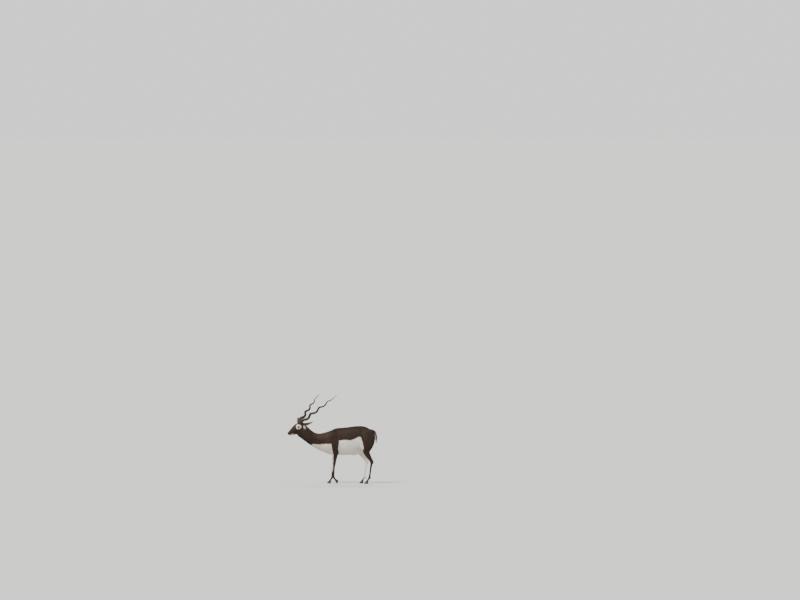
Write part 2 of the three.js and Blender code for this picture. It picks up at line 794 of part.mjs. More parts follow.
function legBoxes(side, margin) {
  const out = side.sign;
  const h = HIND_SHIFT[side.word];
  const ys = (inner, outer) => [Math.min(out * inner, out * outer), Math.max(out * inner, out * outer)];
  const f = FORE_SHIFT[side.word];
  const fore = ys(46 - margin, 160);
  const hind = ys(30 - margin, 170);
  return {
    fore: box([-110 + f - margin, fore[0], -20], [96 + f + margin, fore[1], FORE_CUT + margin]),
    hind: box([376 + h - margin, hind[0], -20], [580 + h + margin, hind[1], HIND_CUT + margin]),
  };
}

const blocks = {};

function buildBody() {
  const head = polygonize(
    (x, y, z) => bodyField(x, y, z),
    [-150, -76, -176],
    [170, 76, 96],
    [10.9, 10.9, 10.9],
    headFrame,
  );
  blocks.head = head.intersect(planeSide(HEAD_PLANE, GAP / 2, true));
  const neck = polygonize(bodyField, [-560, -130, 400], [-60, 130, 900], [20, 20, 20]);
  const behindHead = neck.intersect(planeSide(HEAD_PLANE, -GAP / 2, false));
  blocks.neck = behindHead.intersect(planeSide(NECK_PLANE, GAP / 2, true));
  const torso = polygonize(bodyField, [-330, -170, 340], [650, 170, 860], [26, 25, 25]);
  blocks.torso = torso.intersect(planeSide(NECK_PLANE, -GAP / 2, false));
  for (const side of SIDES) {
    const wide = legBoxes(side, GAP);
    blocks.torso = blocks.torso.subtract(wide.fore).subtract(wide.hind);
    const tight = legBoxes(side, 0);
    const foreFoot = FEET[`front_${side.word}`];
    const hindFoot = FEET[`hind_${side.word}`];
    const foreRows = foreLeg(side, FORE_SHIFT[side.word], [foreFoot.x, foreFoot.z]);
    const hindRows = hindLeg(side, HIND_SHIFT[side.word]);
    const foreLine = [...foreRows.slice(1), ...pastern(foreFoot).slice(1)];
    const hindLine = [...hindRows.slice(3), ...pastern(hindFoot).slice(1)];
    const fore = ringsOver(bodyField, foreLine, 19, 14, 72);
    const hind = ringsOver(bodyField, hindLine, 19, 14, 88);
    blocks[`leg_front_${side.word}`] = fore.intersect(tight.fore);
    blocks[`leg_hind_${side.word}`] = hind.intersect(tight.hind);
  }
}

// The rim of both lids round an eye: an almond ring that stands a little out of the socket
function lids(centre, out) {
  const geometry = new THREE.TorusGeometry(15, 3.6, 6, 16);
  geometry.scale(1.12, 0.9, 1);
  const gaze = vec(0.2, out * 0.96, 0.06).transformDirection(headFrame);
  const turn = new THREE.Quaternion().setFromUnitVectors(vec(0, 0, 1), gaze);
  geometry.applyQuaternion(turn);
  const at = centre.clone().addScaledVector(gaze, 10);
  geometry.translate(at.x, at.y, at.z);
  return solidFrom(geometry);
}

function nostril(out) {
  const geometry = new THREE.SphereGeometry(1, 10, 7);
  geometry.scale(8.5, 4.2, 4);
  geometry.rotateY(-0.5);
  geometry.rotateZ(-out * 0.5);
  geometry.translate(160, out * 13, -43);
  geometry.applyMatrix4(headFrame);
  return solidFrom(geometry);
}

// The slit between the lips, as deep as the lips are thick, from the muzzle's end to its corner
function mouthLine(head) {
  const geometry = new THREE.BoxGeometry(MOUTH_LENGTH, 90, 1.6);
  geometry.rotateY(-0.05);
  geometry.translate(174 - MOUTH_LENGTH / 2, 0, -63.5);
  geometry.applyMatrix4(headFrame);
  return solidFrom(geometry).subtract(grown(head, -LIP));
}

function buildHead() {
  blocks.head = blocks.head.subtract(mouthLine(blocks.head));
  for (const side of SIDES) {
    const out = -side.sign;
    const centre = fromHead(EYE_PLACE[0], out * EYE_PLACE[1], EYE_PLACE[2]);
    blocks[`eye_${side.word}`] = ball(EYE_RADIUS, centre, 16);
    blocks.head = blocks.head.add(lids(centre, out));
    blocks.head = blocks.head.subtract(ball(EYE_RADIUS + GAP, centre, 16));
    blocks.head = blocks.head.subtract(nostril(out));
  }
  const skull = grown(blocks.head, GAP + 0.05);
  for (const side of SIDES) {
    blocks[`horn_${side.word}`] = horn(side).subtract(skull);
  }
  const ears = {
    left: [fromHead(-84, 44, 18), vec(0.98, -0.14, 0.17), vec(0.05, 0.4, -0.9)],
    right: [fromHead(-82, -44, 20), vec(-0.2, 0.85, 0.52), vec(0.35, 0.35, -0.87)],
  };
  for (const side of SIDES) {
    blocks[`ear_${side.word}`] = ear(...ears[side.word]).subtract(skull);
  }
}

function buildFeet() {
  for (const [word, foot] of Object.entries(FEET)) {
    const heel = footPoint(foot, 0, 0, coronetHeight(0));
    const toe = footPoint(foot, HOOF_LENGTH, 0, coronetHeight(HOOF_LENGTH));
    const soleward = toe.clone().sub(heel).cross(vec(0, 1, 0));
    const leg = blocks[`leg_${word}`].intersect(slab(heel, soleward, 1400, 1400));
    blocks[`leg_${word}`] = leg;
    for (const [name, out] of [["outer", Math.sign(foot.y)], ["inner", -Math.sign(foot.y)]]) {
      const hoof = claw(foot, out).intersect(box([-300, -300, 0], [800, 300, 900]));
      blocks[`hoof_${word}_${name}`] = hoof;
      blocks[`dewclaw_${word}_${name}`] = dewclaw(foot, out).subtract(grown(leg, GAP + 0.05));
    }
  }
}

function buildTail() {
  const root = [566, 0, 742];
  const rows = [
    [root[0] - 30, 0, root[2] + 8, 15, 17],
    [root[0] + 2, 0, root[2] - 6, 14, 18],
    [root[0] + 22, 0, root[2] - 46, 13, 22],
    [root[0] + 30, 0, root[2] - 96, 12, 24],
    [root[0] + 28, 0, root[2] - 140, 9, 17],
    [root[0] + 24, 0, root[2] - TAIL_LENGTH, 4, 7],
  ];
  const field = limb(rows);
  const tail = polygonize(field, [500, -50, 540], [630, 50, 790], [11, 11, 18]);
  blocks.tail = tail.subtract(grown(blocks.torso, GAP + 0.05));
}

buildBody();
buildHead();
buildFeet();
buildTail();

const FINISHES = { horn: "horn", hoof: "hoof", dewclaw: "hoof", eye: "eye" };
const materialOf = (name) => COLOURS[FINISHES[name.split("_")[0]] ?? "coat"];

const blackbuck = new THREE.Group();
for (const [name, solid] of Object.entries(blocks)) {
  const mesh = new THREE.Mesh(geometryOf(solid), new THREE.MeshStandardMaterial(materialOf(name)));
  mesh.name = name;
  blackbuck.add(mesh);
}

// The origin is the middle of the bounding box, on the floor
const bounds = new THREE.Box3().setFromObject(blackbuck);
const middle = bounds.getCenter(vec(0, 0, 0));
blackbuck.position.set(-middle.x, -middle.y, 0);

export default blackbuck;
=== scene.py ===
import math

import bpy
import numpy as np
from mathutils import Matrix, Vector


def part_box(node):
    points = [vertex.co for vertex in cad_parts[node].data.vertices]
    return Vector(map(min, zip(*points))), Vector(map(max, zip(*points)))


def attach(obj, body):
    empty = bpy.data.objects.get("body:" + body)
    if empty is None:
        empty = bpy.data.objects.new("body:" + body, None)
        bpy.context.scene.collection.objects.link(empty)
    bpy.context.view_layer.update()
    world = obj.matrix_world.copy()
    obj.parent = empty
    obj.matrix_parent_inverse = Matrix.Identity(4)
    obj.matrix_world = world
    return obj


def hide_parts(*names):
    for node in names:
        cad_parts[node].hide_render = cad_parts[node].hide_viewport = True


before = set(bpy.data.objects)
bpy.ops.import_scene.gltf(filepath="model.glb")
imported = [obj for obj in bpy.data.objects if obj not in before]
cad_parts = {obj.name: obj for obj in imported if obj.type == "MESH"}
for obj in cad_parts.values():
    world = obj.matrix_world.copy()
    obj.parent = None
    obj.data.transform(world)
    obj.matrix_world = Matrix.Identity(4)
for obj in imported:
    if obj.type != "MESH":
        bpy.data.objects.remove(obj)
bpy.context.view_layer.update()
bpy.ops.object.select_all(action="DESELECT")

# Driving sizes, mm
WITHERS = 786
CROUP = 800
STERNUM = 408
FORE_KNEE = 292
STIFLE = 490
HOCK = 302
FETLOCK = 91
FORE_TRACK = 62
HIND_TRACK = 64
HEAD_YAW = math.radians(30)
HEAD_PITCH = math.radians(18)
HEAD_PLACE = np.array([-524.0, -58.0, 806.0])
EYE_RADIUS = 18.0
EYE_ACROSS = 38.0
EYE_FIT = 0.992
# The open lids, in degrees from the gaze: to the nose, to the back, up and down
LID_FRONT = 58.0
LID_BACK = 50.0
LID_UPPER = 41
LID_LOWER = 30
HORN_TURNS = 4.4
HORN_BASE_RADIUS = 20.0
HORN_END_RADIUS = 3.2
HORN_SWING = 16.5
HORN_RINGED = 0.76
HORN_RINGS = 30
RING_HEIGHT = 2.3
HORN_TIPS = {"left": (42, -262, 1258), "right": (-214, 168, 1262)}
EAR_LENGTH = 146.0
EAR_HALF_WIDTH = 40
EAR_WALL = 2.6
EAR_HAIR = 0.9
# Half the angle an ear is rolled through at its root and tip, radians
EAR_ROLL = (2.35, 0.55)
HOOF_LENGTH = 60.0
HOOF_WIDTH = 19.0
HOOF_HEIGHT = 34.0
TAIL_ROOT = (566, 742)
TAIL_LENGTH = 165
FLEX = math.radians(74)
FORE_SHIFT = {"left": 0, "right": -18}
HIND_SHIFT = {"left": 0, "right": -70}
SIGN = {"left": -1, "right": 1}

# The skin's grid in metres, and how often it is relaxed, laid on the form and calmed
VOXEL = 0.0049
RELAX_STEPS = 7
LAY_STEPS = 3
CALM_STEPS = 42

# Length and width of a tuft, mm; the head's is the body's less these
BODY_HAIR = (16.0, 1.0)
HEAD_LESS = (8.0, 0.36)
MUZZLE_LESS = (3.5, 0.14)
LEG_HAIR = (9.5, 0.72)
FOOT_HAIR = (6.5, 0.6)
TAIL_HAIR = (20.0, 0.9)
HAIR_COVER = 3.0
COAT_SEED = 11
PIECE_TUFTS = 49000

u_axis = np.array([
    -math.cos(HEAD_YAW) * math.cos(HEAD_PITCH),
    -math.sin(HEAD_YAW) * math.cos(HEAD_PITCH),
    -math.sin(HEAD_PITCH),
])
w_axis = np.array([math.sin(HEAD_YAW), -math.cos(HEAD_YAW), 0.0])
v_axis = np.array([
    -math.cos(HEAD_YAW) * math.sin(HEAD_PITCH),
    -math.sin(HEAD_YAW) * math.sin(HEAD_PITCH),
    math.cos(HEAD_PITCH),
])
HEAD_AXES = np.stack([u_axis, w_axis, v_axis])


def from_head(u, w, v):
    return HEAD_PLACE + u * u_axis + w * w_axis + v * v_axis


def to_head(p):
    return (p - HEAD_PLACE) @ HEAD_AXES.T


# The frame's place of the part's zero, read from the left eye
eye_low, eye_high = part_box("eye_left")
eye_middle = np.array([(a + b) / 2 * 1000 for a, b in zip(eye_low, eye_high)])
SHIFT = eye_middle - from_head(0, EYE_ACROSS, 0)


def to_frame(p):
    return (np.asarray(p, dtype=float) + SHIFT) / 1000


def to_part(p):
    return np.asarray(p, dtype=float) * 1000 - SHIFT


# Numbers over arrays
def smooth(a, b, x):
    t = np.clip((x - a) / (b - a), 0, 1)
    return t * t * (3 - 2 * t)


def unit(v):
    return v / (np.linalg.norm(v, axis=-1, keepdims=True) + 1e-9)


def blend(a, b, share):
    return a + share * (b - a)


def spline(values, t):
    values = np.asarray(values, dtype=float)
    last = len(values) - 1
    t = np.asarray(t, dtype=float)
    i = np.clip(np.floor(t).astype(int), 0, last - 1)
    f = t - i
    if values.ndim > 1:
        f = f[..., None]
    a = values[np.clip(i - 1, 0, last)]
    b = values[i]
    c = values[i + 1]
    d = values[np.clip(i + 2, 0, last)]
    m0 = (c - a) / 2
    m1 = (d - b) / 2
    f2 = f * f
    f3 = f2 * f
    return (2 * f3 - 3 * f2 + 1) * b + (f3 - 2 * f2 + f) * m0 + (3 * f2 - 2 * f3) * c + (f3 - f2) * m1


def soft_min(a, b, k):
    h = np.maximum(k - np.abs(a - b), 0) / k
    return np.minimum(a, b) - h * h * k * 0.25


# The body's own form, as distances in mm that are negative inside it; FAR is beyond all of it
FAR = 1e3


def ellipsoid(centre, radii, tilt=0.0):
    c = math.cos(tilt)
    s = math.sin(tilt)
    rx, ry, rz = radii

    def field(p):
        d = p - np.array(centre, dtype=float)
        ex = d[:, 0] * c + d[:, 2] * s
        ez = d[:, 2] * c - d[:, 0] * s
        r = np.sqrt((ex / rx) ** 2 + (d[:, 1] / ry) ** 2 + (ez / rz) ** 2) + 1e-6
        length = np.sqrt(ex ** 2 + d[:, 1] ** 2 + ez ** 2)
        return length * (1 - 1 / r)

    return field


def limb(stations):
    """A limb through stations of x, y, z, depth and width."""
    steps = 3
    rows = spline(stations, np.arange((len(stations) - 1) * steps + 1) / steps)
    reach = rows[:, 3:].max() + 70
    low = rows[:, :3].min(axis=0) - reach
    high = rows[:, :3].max(axis=0) + reach

    def field(p):
        out = np.full(len(p), FAR)
        near = np.all((p > low) & (p < high), axis=1)
        q = p[near]
        best = np.full(len(q), FAR)
        for start, end in zip(rows[:-1], rows[1:]):
            t = end[:3] - start[:3]
            length = np.linalg.norm(t)
            t = t / length
            w = np.array([0.0, 1.0, 0.0]) - t * t[1]
            w = w / np.linalg.norm(w)
            rel = q - start[:3]
            along = rel @ t
            s = np.clip(along / length, 0, 1)
            depth = blend(start[3], end[3], s)
            width = blend(start[4], end[4], s)
            a = rel @ np.cross(t, w)
            b = rel @ w
            c = along - s * length
            r = np.sqrt((a / depth) ** 2 + (b / width) ** 2 + (c / (0.5 * (depth + width))) ** 2) + 1e-6
            best = np.minimum(best, np.sqrt(a * a + b * b + c * c) * (1 - 1 / r))
        out[near] = best
        return out

    return field


def trunk(sections, end_depth):
    """A trunk through sections of x, top, bottom and half width, widest a little below its middle."""
    sections = np.array(sections, dtype=float)
    xs = sections[:, 0]

    def field(p):
        cx = np.clip(p[:, 0], xs[0], xs[-1])
        i = np.clip(np.searchsorted(xs, cx, side="right") - 1, 0, len(xs) - 2)
        t = i + (cx - xs[i]) / (xs[i + 1] - xs[i])
        top, bottom, half = (spline(sections[:, k], t) for k in (1, 2, 3))
        widest = bottom + (top - bottom) * 0.44
        rise = p[:, 2] - widest
        v = np.where(rise > 0, rise / (top - widest), rise / (widest - bottom))
        power = np.where(rise > 0, 1.95, 2.2)
        ring = (np.abs(p[:, 1] / half) ** power + np.abs(v) ** power) ** (1 / power)
        r = np.hypot(ring, (p[:, 0] - cx) / end_depth) + 1e-6
        length = np.sqrt(p[:, 1] ** 2 + rise ** 2 + (p[:, 0] - cx) ** 2)
        return length * (1 - 1 / r)

    return field


def head_parts():
    parts = [
        (ellipsoid([-50, 0, 3], [60, 45, 45], -0.25), 10),
        (ellipsoid([34, 0, -47], [78, 29, 28], -0.1), 18),
        (limb([[-10, 0, -3, 50, 37], [32, 0, -11, 46, 33], [74, 0, -23, 38, 27.5],
               [116, 0, -36.5, 31, 23.5], [150, 0, -47.5, 22.5, 21]]), 14),
        (limb([[-36, 0, -68, 29, 32], [4, 0, -78, 24, 27], [50, 0, -81, 18.5, 21],
               [96, 0, -79, 14, 16.5], [138, 0, -75.5, 11, 14.5]]), 12),
    ]
    for side in (-1, 1):
        parts += [
            (ellipsoid([0, side * 33, 1], [27, 14, 23]), 16),
            (ellipsoid([-4, side * 35, 18], [23, 13, 8], 0.1), 12),
            (ellipsoid([-20, side * 27, -42], [48, 15, 36]), 18),
            (ellipsoid([36, side * 22, -24], [40, 12, 16], -0.3), 16),
            (ellipsoid([-54, side * 21, 38], [20, 18, 24], 0.5), 16),
            (ellipsoid([-84, side * 38, 16], [22, 16, 22]), 12),
            (ellipsoid([149, side * 11, -42], [15, 9, 10], -0.3), 7),
        ]
    return parts


# Feet: the near fore foot is flexed, its toe resting on the floor
FEET = {
    "front_left": {"x": -8, "z": FETLOCK + 3, "y": -FORE_TRACK, "flexed": True},
    "front_right": {"x": -26, "z": FETLOCK, "y": FORE_TRACK, "flexed": False},
    "hind_left": {"x": 500, "z": FETLOCK, "y": -HIND_TRACK, "flexed": False},
    "hind_right": {"x": 430, "z": FETLOCK, "y": HIND_TRACK, "flexed": False},
}
CORONET_ALONG = HOOF_LENGTH * 0.33


def coronet_height(along):
    return HOOF_HEIGHT * (0.62 + 0.61 * along / HOOF_LENGTH)


CORONET_RISE = coronet_height(CORONET_ALONG)


def coronet_of(foot):
    toe = (HOOF_LENGTH - CORONET_ALONG) * math.sin(FLEX) + CORONET_RISE * math.cos(FLEX)
    return (foot["x"] + 38, toe - 2) if foot["flexed"] else (foot["x"] - 38, CORONET_RISE)


def foot_point(foot, along, wide, up):
    x, z = coronet_of(foot)
    turn = FLEX if foot["flexed"] else 0.0
    a = np.asarray(along, dtype=float) - CORONET_ALONG
    b = np.asarray(up, dtype=float) - CORONET_RISE
    return np.stack([
        x - a * math.cos(turn) - b * math.sin(turn),
        foot["y"] + np.asarray(wide, dtype=float) + a * 0,
        z + b * math.cos(turn) - a * math.sin(turn),
    ], axis=-1)


def fore_leg(side):
    out = SIGN[side]
    shift = FORE_SHIFT[side]
    foot = FEET["front_" + side]
    return [
        [28 + shift, out * 72, 565, 66, 28],
        [32 + shift, out * 73, 505, 50, 28],
        [28 + shift, out * 71, 450, 36, 24.5],
        [19 + shift * 0.9, out * 68, 390, 28, 21],
        [10 + shift * 0.9, out * 65, FORE_KNEE + 32, 20.5, 17.5],
        [5 + shift * 0.9, out * 64, FORE_KNEE, 21, 19],
        [1 + shift * 0.9, out * 63.5, FORE_KNEE - 28, 15.5, 14.5],
        [foot["x"] + 3, out * 63, (FORE_KNEE + foot["z"]) / 2, 13.5, 12.2],
        [foot["x"], out * 62.5, foot["z"] + 24, 13.5, 12.5],
        [foot["x"] + 1, out * FORE_TRACK, foot["z"], 16, 15.5],
    ]


def hind_leg(side):
    out = SIGN[side]
    shift = HIND_SHIFT[side]
    return [
        [486 + shift * 0.2, out * 50, 690, 82, 42],
        [482 + shift * 0.4, out * 58, 625, 97, 50],
        [466 + shift * 0.7, out * 64, 555, 92, 48],
        [446 + shift, out * 70, STIFLE, 72, 39],
        [458 + shift, out * 72, 435, 49, 29],
        [484 + shift, out * 70, 385, 31, 21.5],
        [514 + shift, out * 68, HOCK + 34, 22, 16.5],
        [529 + shift, out * 67, HOCK, 22, 18],
        [525 + shift, out * 66.5, HOCK - 30, 16.5, 14.5],
        [514 + shift, out * 66, 200, 12.5, 12],
        [503 + shift, out * 65, FETLOCK + 24, 13, 12.5],
        [500 + shift, out * HIND_TRACK, FETLOCK, 17, 15.5],
    ]


def pastern(foot):
    x, z = coronet_of(foot)
    rows = []
    for t, depth, width in ((0, 15, 15), (0.5, 12.5, 13), (0.92, 15.5, 16.5), (1.15, 17, 17.5)):
        rows.append([blend(foot["x"], x, t), foot["y"], blend(foot["z"], z, t), depth, width])
    return rows


def tail_rows():
    x, z = TAIL_ROOT
    return [
        [x - 30, 0, z + 8, 15, 17],
        [x + 2, 0, z - 6, 14, 18],
        [x + 22, 0, z - 46, 13, 22],
        [x + 30, 0, z - 96, 12, 24],
        [x + 28, 0, z - 140, 9, 17],
        [x + 24, 0, z - TAIL_LENGTH, 4, 7],
    ]


def body_parts():
    parts = [
        (trunk([[-190, 676, 500, 52], [-130, 708, 448, 68], [-60, 746, 414, 82],
                [20, WITHERS - 2, STERNUM - 2, 91], [100, WITHERS + 6, STERNUM - 4, 99],
                [180, 800, STERNUM - 4, 107], [260, 811, STERNUM + 4, 109], [330, 817, STERNUM + 30, 103],
                [400, 816, STERNUM + 70, 95], [460, CROUP, 520, 82], [520, 766, 570, 62]], 62), 20),
        (limb([[-457, -22, 764, 89, 49], [-400, -14, 706, 92, 51], [-327, -5, 649, 93, 55],
               [-240, 0, 608, 106, 61], [-150, 0, 586, 134, 70], [-60, 0, 586, 146, 78]]), 40),
        (ellipsoid([-472, -36, 722], [54, 38, 62]), 26),
        (ellipsoid([300, 0, 418], [60, 17, 20], 0.2), 22),
        (ellipsoid([424, 0, 476], [24, 22, 40]), 12),
        (ellipsoid([522, 0, 706], [52, 40, 58]), 30),
    ]
    for side, out in SIGN.items():
        h = HIND_SHIFT[side]
        parts += [
            (ellipsoid([0, out * 53, 640], [64, 38, 100], 0.25), 50),
            (ellipsoid([-62, out * 60, 556], [52, 32, 54]), 40),
            (ellipsoid([40, out * 72, 560], [62, 27, 62]), 34),
            (limb(fore_leg(side)), 26),
            (limb(pastern(FEET["front_" + side])), 7),
            (limb(hind_leg(side)), 38),
            (limb([[500 + h, out * 71, 420, 12, 9], [534 + h, out * 68.5, 365, 8, 7.5],
                   [551 + h, out * 67, HOCK + 26, 9.5, 9], [545 + h, out * 67, HOCK - 6, 9, 10]]), 10),
            (limb(pastern(FEET["hind_" + side])), 7),
        ]
    return parts


HEAD_FORMS = head_parts()
BODY_FORMS = body_parts()
TAIL_FORM = limb(tail_rows())
LEG_FORMS = {
    pair: [limb(rows(side)) for side in SIGN] + [limb(pastern(FEET[pair + "_" + side])) for side in SIGN]
    for pair, rows in (("front", fore_leg), ("hind", hind_leg))
}
EYE_COVERS = [ellipsoid(from_head(0, out * EYE_ACROSS, 0), (EYE_RADIUS + 3.6,) * 3) for out in (-1, 1)]


def on_leg(p, pair):
    """1 on the legs of one pair, fading off them onto the body."""
    return smooth(14, 4, np.minimum.reduce([form(p) for form in LEG_FORMS[pair]]))


def joined(forms, p):
    """One distance from forms, each taken in with its own width of blending."""
    value = np.full(len(p), FAR)
    for form, k in forms:
        value = soft_min(value, form(p), k)
    return value


def body_field(p):
    value = joined(BODY_FORMS, p)
    q = to_head(p)
    near = (q[:, 0] > -230) & (np.abs(q[:, 1]) < 170) & (np.abs(q[:, 2]) < 220)
    head = np.full(len(p), FAR)
    head[near] = joined(HEAD_FORMS, q[near])
    value = soft_min(value, head, 24)
    for cover in EYE_COVERS:
        value = soft_min(value, cover(p), 9)
    return soft_min(value, TAIL_FORM(p), 9)


def gradient(field, p, step=0.6):
    total = np.zeros_like(p)
    for corner in ((1, 1, 1), (1, -1, -1), (-1, 1, -1), (-1, -1, 1)):
        c = np.array(corner, dtype=float)
        total += field(p + c * step)[:, None] * c
    return total / (4 * step)


# Where on the animal a point lies, from 0 to 1
def head_share(p):
    q = to_head(p)
    return smooth(-115, -70, q[:, 0] + 0.25 * q[:, 2])


def leg_share(p, fore, hind):
    """1 low on the legs; fore and hind give the heights where it starts and where it is whole."""
    x, z = p[:, 0], p[:, 2]
    return np.maximum(smooth(*fore, z) * smooth(170, 130, x), smooth(*hind, z) * smooth(250, 300, x))


def tail_share(p):
    return smooth(6, -2, TAIL_FORM(p) - 4) * smooth(552, 566, p[:, 0])


def coat_depth(p):
    """How deep the skin lies under the coat's tips, mm."""
    return blend(3.0 - 1.9 * head_share(p), 1.0, leg_share(p, (470, 400), (500, 400)))


# Blender helpers
def pick(*objects):
    bpy.ops.object.select_all(action="DESELECT")
    for o in objects:
        o.select_set(True)
    bpy.context.view_layer.objects.active = objects[0]


def edit(piece, step):
    """Runs one step in edit mode with all of a piece selected."""
    pick(piece)
    bpy.ops.object.mode_set(mode="EDIT")
    bpy.ops.mesh.select_all(action="SELECT")
    step()
    bpy.ops.object.mode_set(mode="OBJECT")


def unwrap(piece, margin):
    edit(piece, lambda: bpy.ops.uv.smart_project(angle_limit=math.radians(66), island_margin=margin))
    piece.data.uv_layers[0].name = "OFBake"


def apply_modifier(piece, kind, **settings):
    modifier = piece.modifiers.new(kind.lower(), kind)
    for key, value in settings.items():
        setattr(modifier, key, value)
    pick(piece)
    bpy.ops.object.modifier_apply(modifier=modifier.name)


def new_object(name, data):
    made = bpy.data.objects.new(name, data)
    bpy.context.scene.collection.objects.link(made)
    return made


def ball(name, segments, rings, radius):
    bpy.ops.object.select_all(action="DESELECT")
    bpy.ops.mesh.primitive_uv_sphere_add(segments=segments, ring_count=rings, radius=radius)
    piece = bpy.context.object
    piece.name = name
    return piece


def read_vectors(items, name):
    out = np.empty(len(items) * 3)
    items.foreach_get(name, out)
    return out.reshape(-1, 3)


def read_places(mesh):
    return read_vectors(mesh.vertices, "co")


def write_places(mesh, places):
    mesh.vertices.foreach_set("co", np.asarray(places, dtype=float).ravel())
    mesh.update()


def read_normals(mesh):
    return read_vectors(mesh.vertices, "normal")


def reshape(piece, change):
    """Moves a piece's points, which change gets in mm with their normals."""
    mesh = piece.data
    p = to_part(read_places(mesh))
    write_places(mesh, to_frame(change(p, read_normals(mesh))))


def shade_smooth(mesh):
    mesh.polygons.foreach_set("use_smooth", np.full(len(mesh.polygons), True))


def corner_arrays(mesh):
    """The corners of all triangles, as vertices and as loops."""
    mesh.calc_loop_triangles()
    arrays = []
    for name in ("vertices", "loops"):
        values = np.empty(len(mesh.loop_triangles) * 3, dtype=np.int32)
        mesh.loop_triangles.foreach_get(name, values)
        arrays.append(values.reshape(-1, 3))
    return arrays


def give_value(mesh, name, values):
    layer = mesh.attributes.new(name, "FLOAT", "POINT")
    layer.data.foreach_set("value", np.asarray(values, dtype=np.float32))


def read_value(mesh, name):
    out = np.empty(len(mesh.vertices), dtype=np.float32)
    mesh.attributes[name].data.foreach_get("value", out)
    return out


def mesh_piece(name, places, faces):
    """A piece from points in metres and faces of one size, as arrays."""
    faces = np.asarray(faces, dtype=np.int32)
    mesh = bpy.data.meshes.new(name)
    mesh.vertices.add(len(places))
    mesh.vertices.foreach_set("co", places.ravel())
    mesh.loops.add(faces.size)
    mesh.loops.foreach_set("vertex_index", faces.ravel())
    mesh.polygons.add(len(faces))
    mesh.polygons.foreach_set("loop_start", np.arange(len(faces), dtype=np.int32) * faces.shape[1])
    mesh.update(calc_edges=True)
    shade_smooth(mesh)
    return new_object(name, mesh)


def skin_over_rings(name, rings):
    """A tube through rings of equal count, mm, each end closed to its middle."""
    rows, around, _ = rings.shape
    n = np.arange(around)
    m = (n + 1) % around
    faces = []
    for a in range(0, (rows - 1) * around, around):
        b = a + around
        faces.append(np.stack([a + n, a + m, b + m], axis=1))
        faces.append(np.stack([a + n, b + m, b + n], axis=1))
    middle = rows * around
    last = middle - around
    faces.append(np.stack([m, n, np.full(around, middle)], axis=1))
    faces.append(np.stack([last + n, last + m, np.full(around, middle + 1)], axis=1))
    places = np.vstack([rings.reshape(-1, 3), rings[0].mean(axis=0), rings[-1].mean(axis=0)])
    return mesh_piece(name, to_frame(places), np.vstack(faces))


# Skin: the flesh nodes joined to one body, made fine on the head, and laid on the form under the coat
FLESH = [
    "torso", "neck", "head", "leg_front_left", "leg_front_right", "leg_hind_left", "leg_hind_right", "tail",
]


def build_skin():
    names = FLESH + ["eye_left", "eye_right"]
    pick(*(new_object(name + "_copy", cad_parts[name].data.copy()) for name in names))
    bpy.ops.object.join()
    skin = bpy.context.view_layer.objects.active
    skin.name = "skin"
    skin.data.name = "skin"
    skin.data.materials.clear()
    edit(skin, lambda: bpy.ops.mesh.remove_doubles(threshold=0.00002))
    apply_modifier(skin, "REMESH", mode="VOXEL", voxel_size=VOXEL)
    refine(skin, lambda q, p: (q[:, 0] > -75) & (p[:, 2] > 640) & (np.abs(q[:, 1]) < 120))
    refine(skin, fine_face)
    apply_modifier(skin, "SMOOTH", factor=0.5, iterations=RELAX_STEPS)
    reshape(skin, lay_on_form)
    calm_broad_forms(skin)
    for change in (shape_muscles, shape_feet, shape_head):
        reshape(skin, change)
    shade_smooth(skin.data)
    skin.data.update()
    return skin


def lay_on_form(p, n):
    for _ in range(LAY_STEPS):
        slope = gradient(body_field, p)
        step = (body_field(p) + coat_depth(p)) / np.maximum((slope ** 2).sum(axis=1), 0.25)
        p = p - slope * np.clip(step, -6, 6)[:, None]
    return p


def refine(skin, region):
    """Splits the faces of one region in four."""
    mesh = skin.data
    p = to_part(read_vectors(mesh.polygons, "center"))
    wanted = region(to_head(p), p)
    pick(skin)
    bpy.ops.object.mode_set(mode="EDIT")
    bpy.ops.mesh.select_mode(type="FACE")
    bpy.ops.mesh.select_all(action="DESELECT")
    bpy.ops.object.mode_set(mode="OBJECT")
    mesh.polygons.foreach_set("select", wanted)
    bpy.ops.object.mode_set(mode="EDIT")
    bpy.ops.mesh.subdivide(number_cuts=1)
    bpy.ops.mesh.select_all(action="DESELECT")
    bpy.ops.object.mode_set(mode="OBJECT")


def calm_broad_forms(skin):
    """Smooths the creases between the big forms of trunk, neck and face."""
    p = to_part(read_places(skin.data))
    fore = on_leg(p, "front") * smooth(520, 430, p[:, 2])
    slim = np.maximum(fore, on_leg(p, "hind") * smooth(470, 400, p[:, 2]))
    q = to_head(p)
    head = smooth(-150, -105, q[:, 0])
    eyes = np.hypot(np.hypot(q[:, 0], q[:, 2]), np.abs(q[:, 1]) - EYE_ACROSS)
    face = 0.7 * smooth(166, 156, q[:, 0]) * smooth(24, 32, eyes)
    throat = smooth(-58, -80, q[:, 2]) * smooth(12, -20, q[:, 0])
    broad = (1 - slim) * (1 - head + head * np.maximum(face, throat)) * (1 - tail_share(p))
    group = skin.vertex_groups.new(name="broad")
    for share in (0.34, 0.67, 1.0):
        group.add(np.nonzero(broad > share - 0.17)[0].tolist(), share, "REPLACE")
    apply_modifier(skin, "SMOOTH", factor=0.5, iterations=CALM_STEPS, vertex_group="broad")
    skin.vertex_groups.clear()


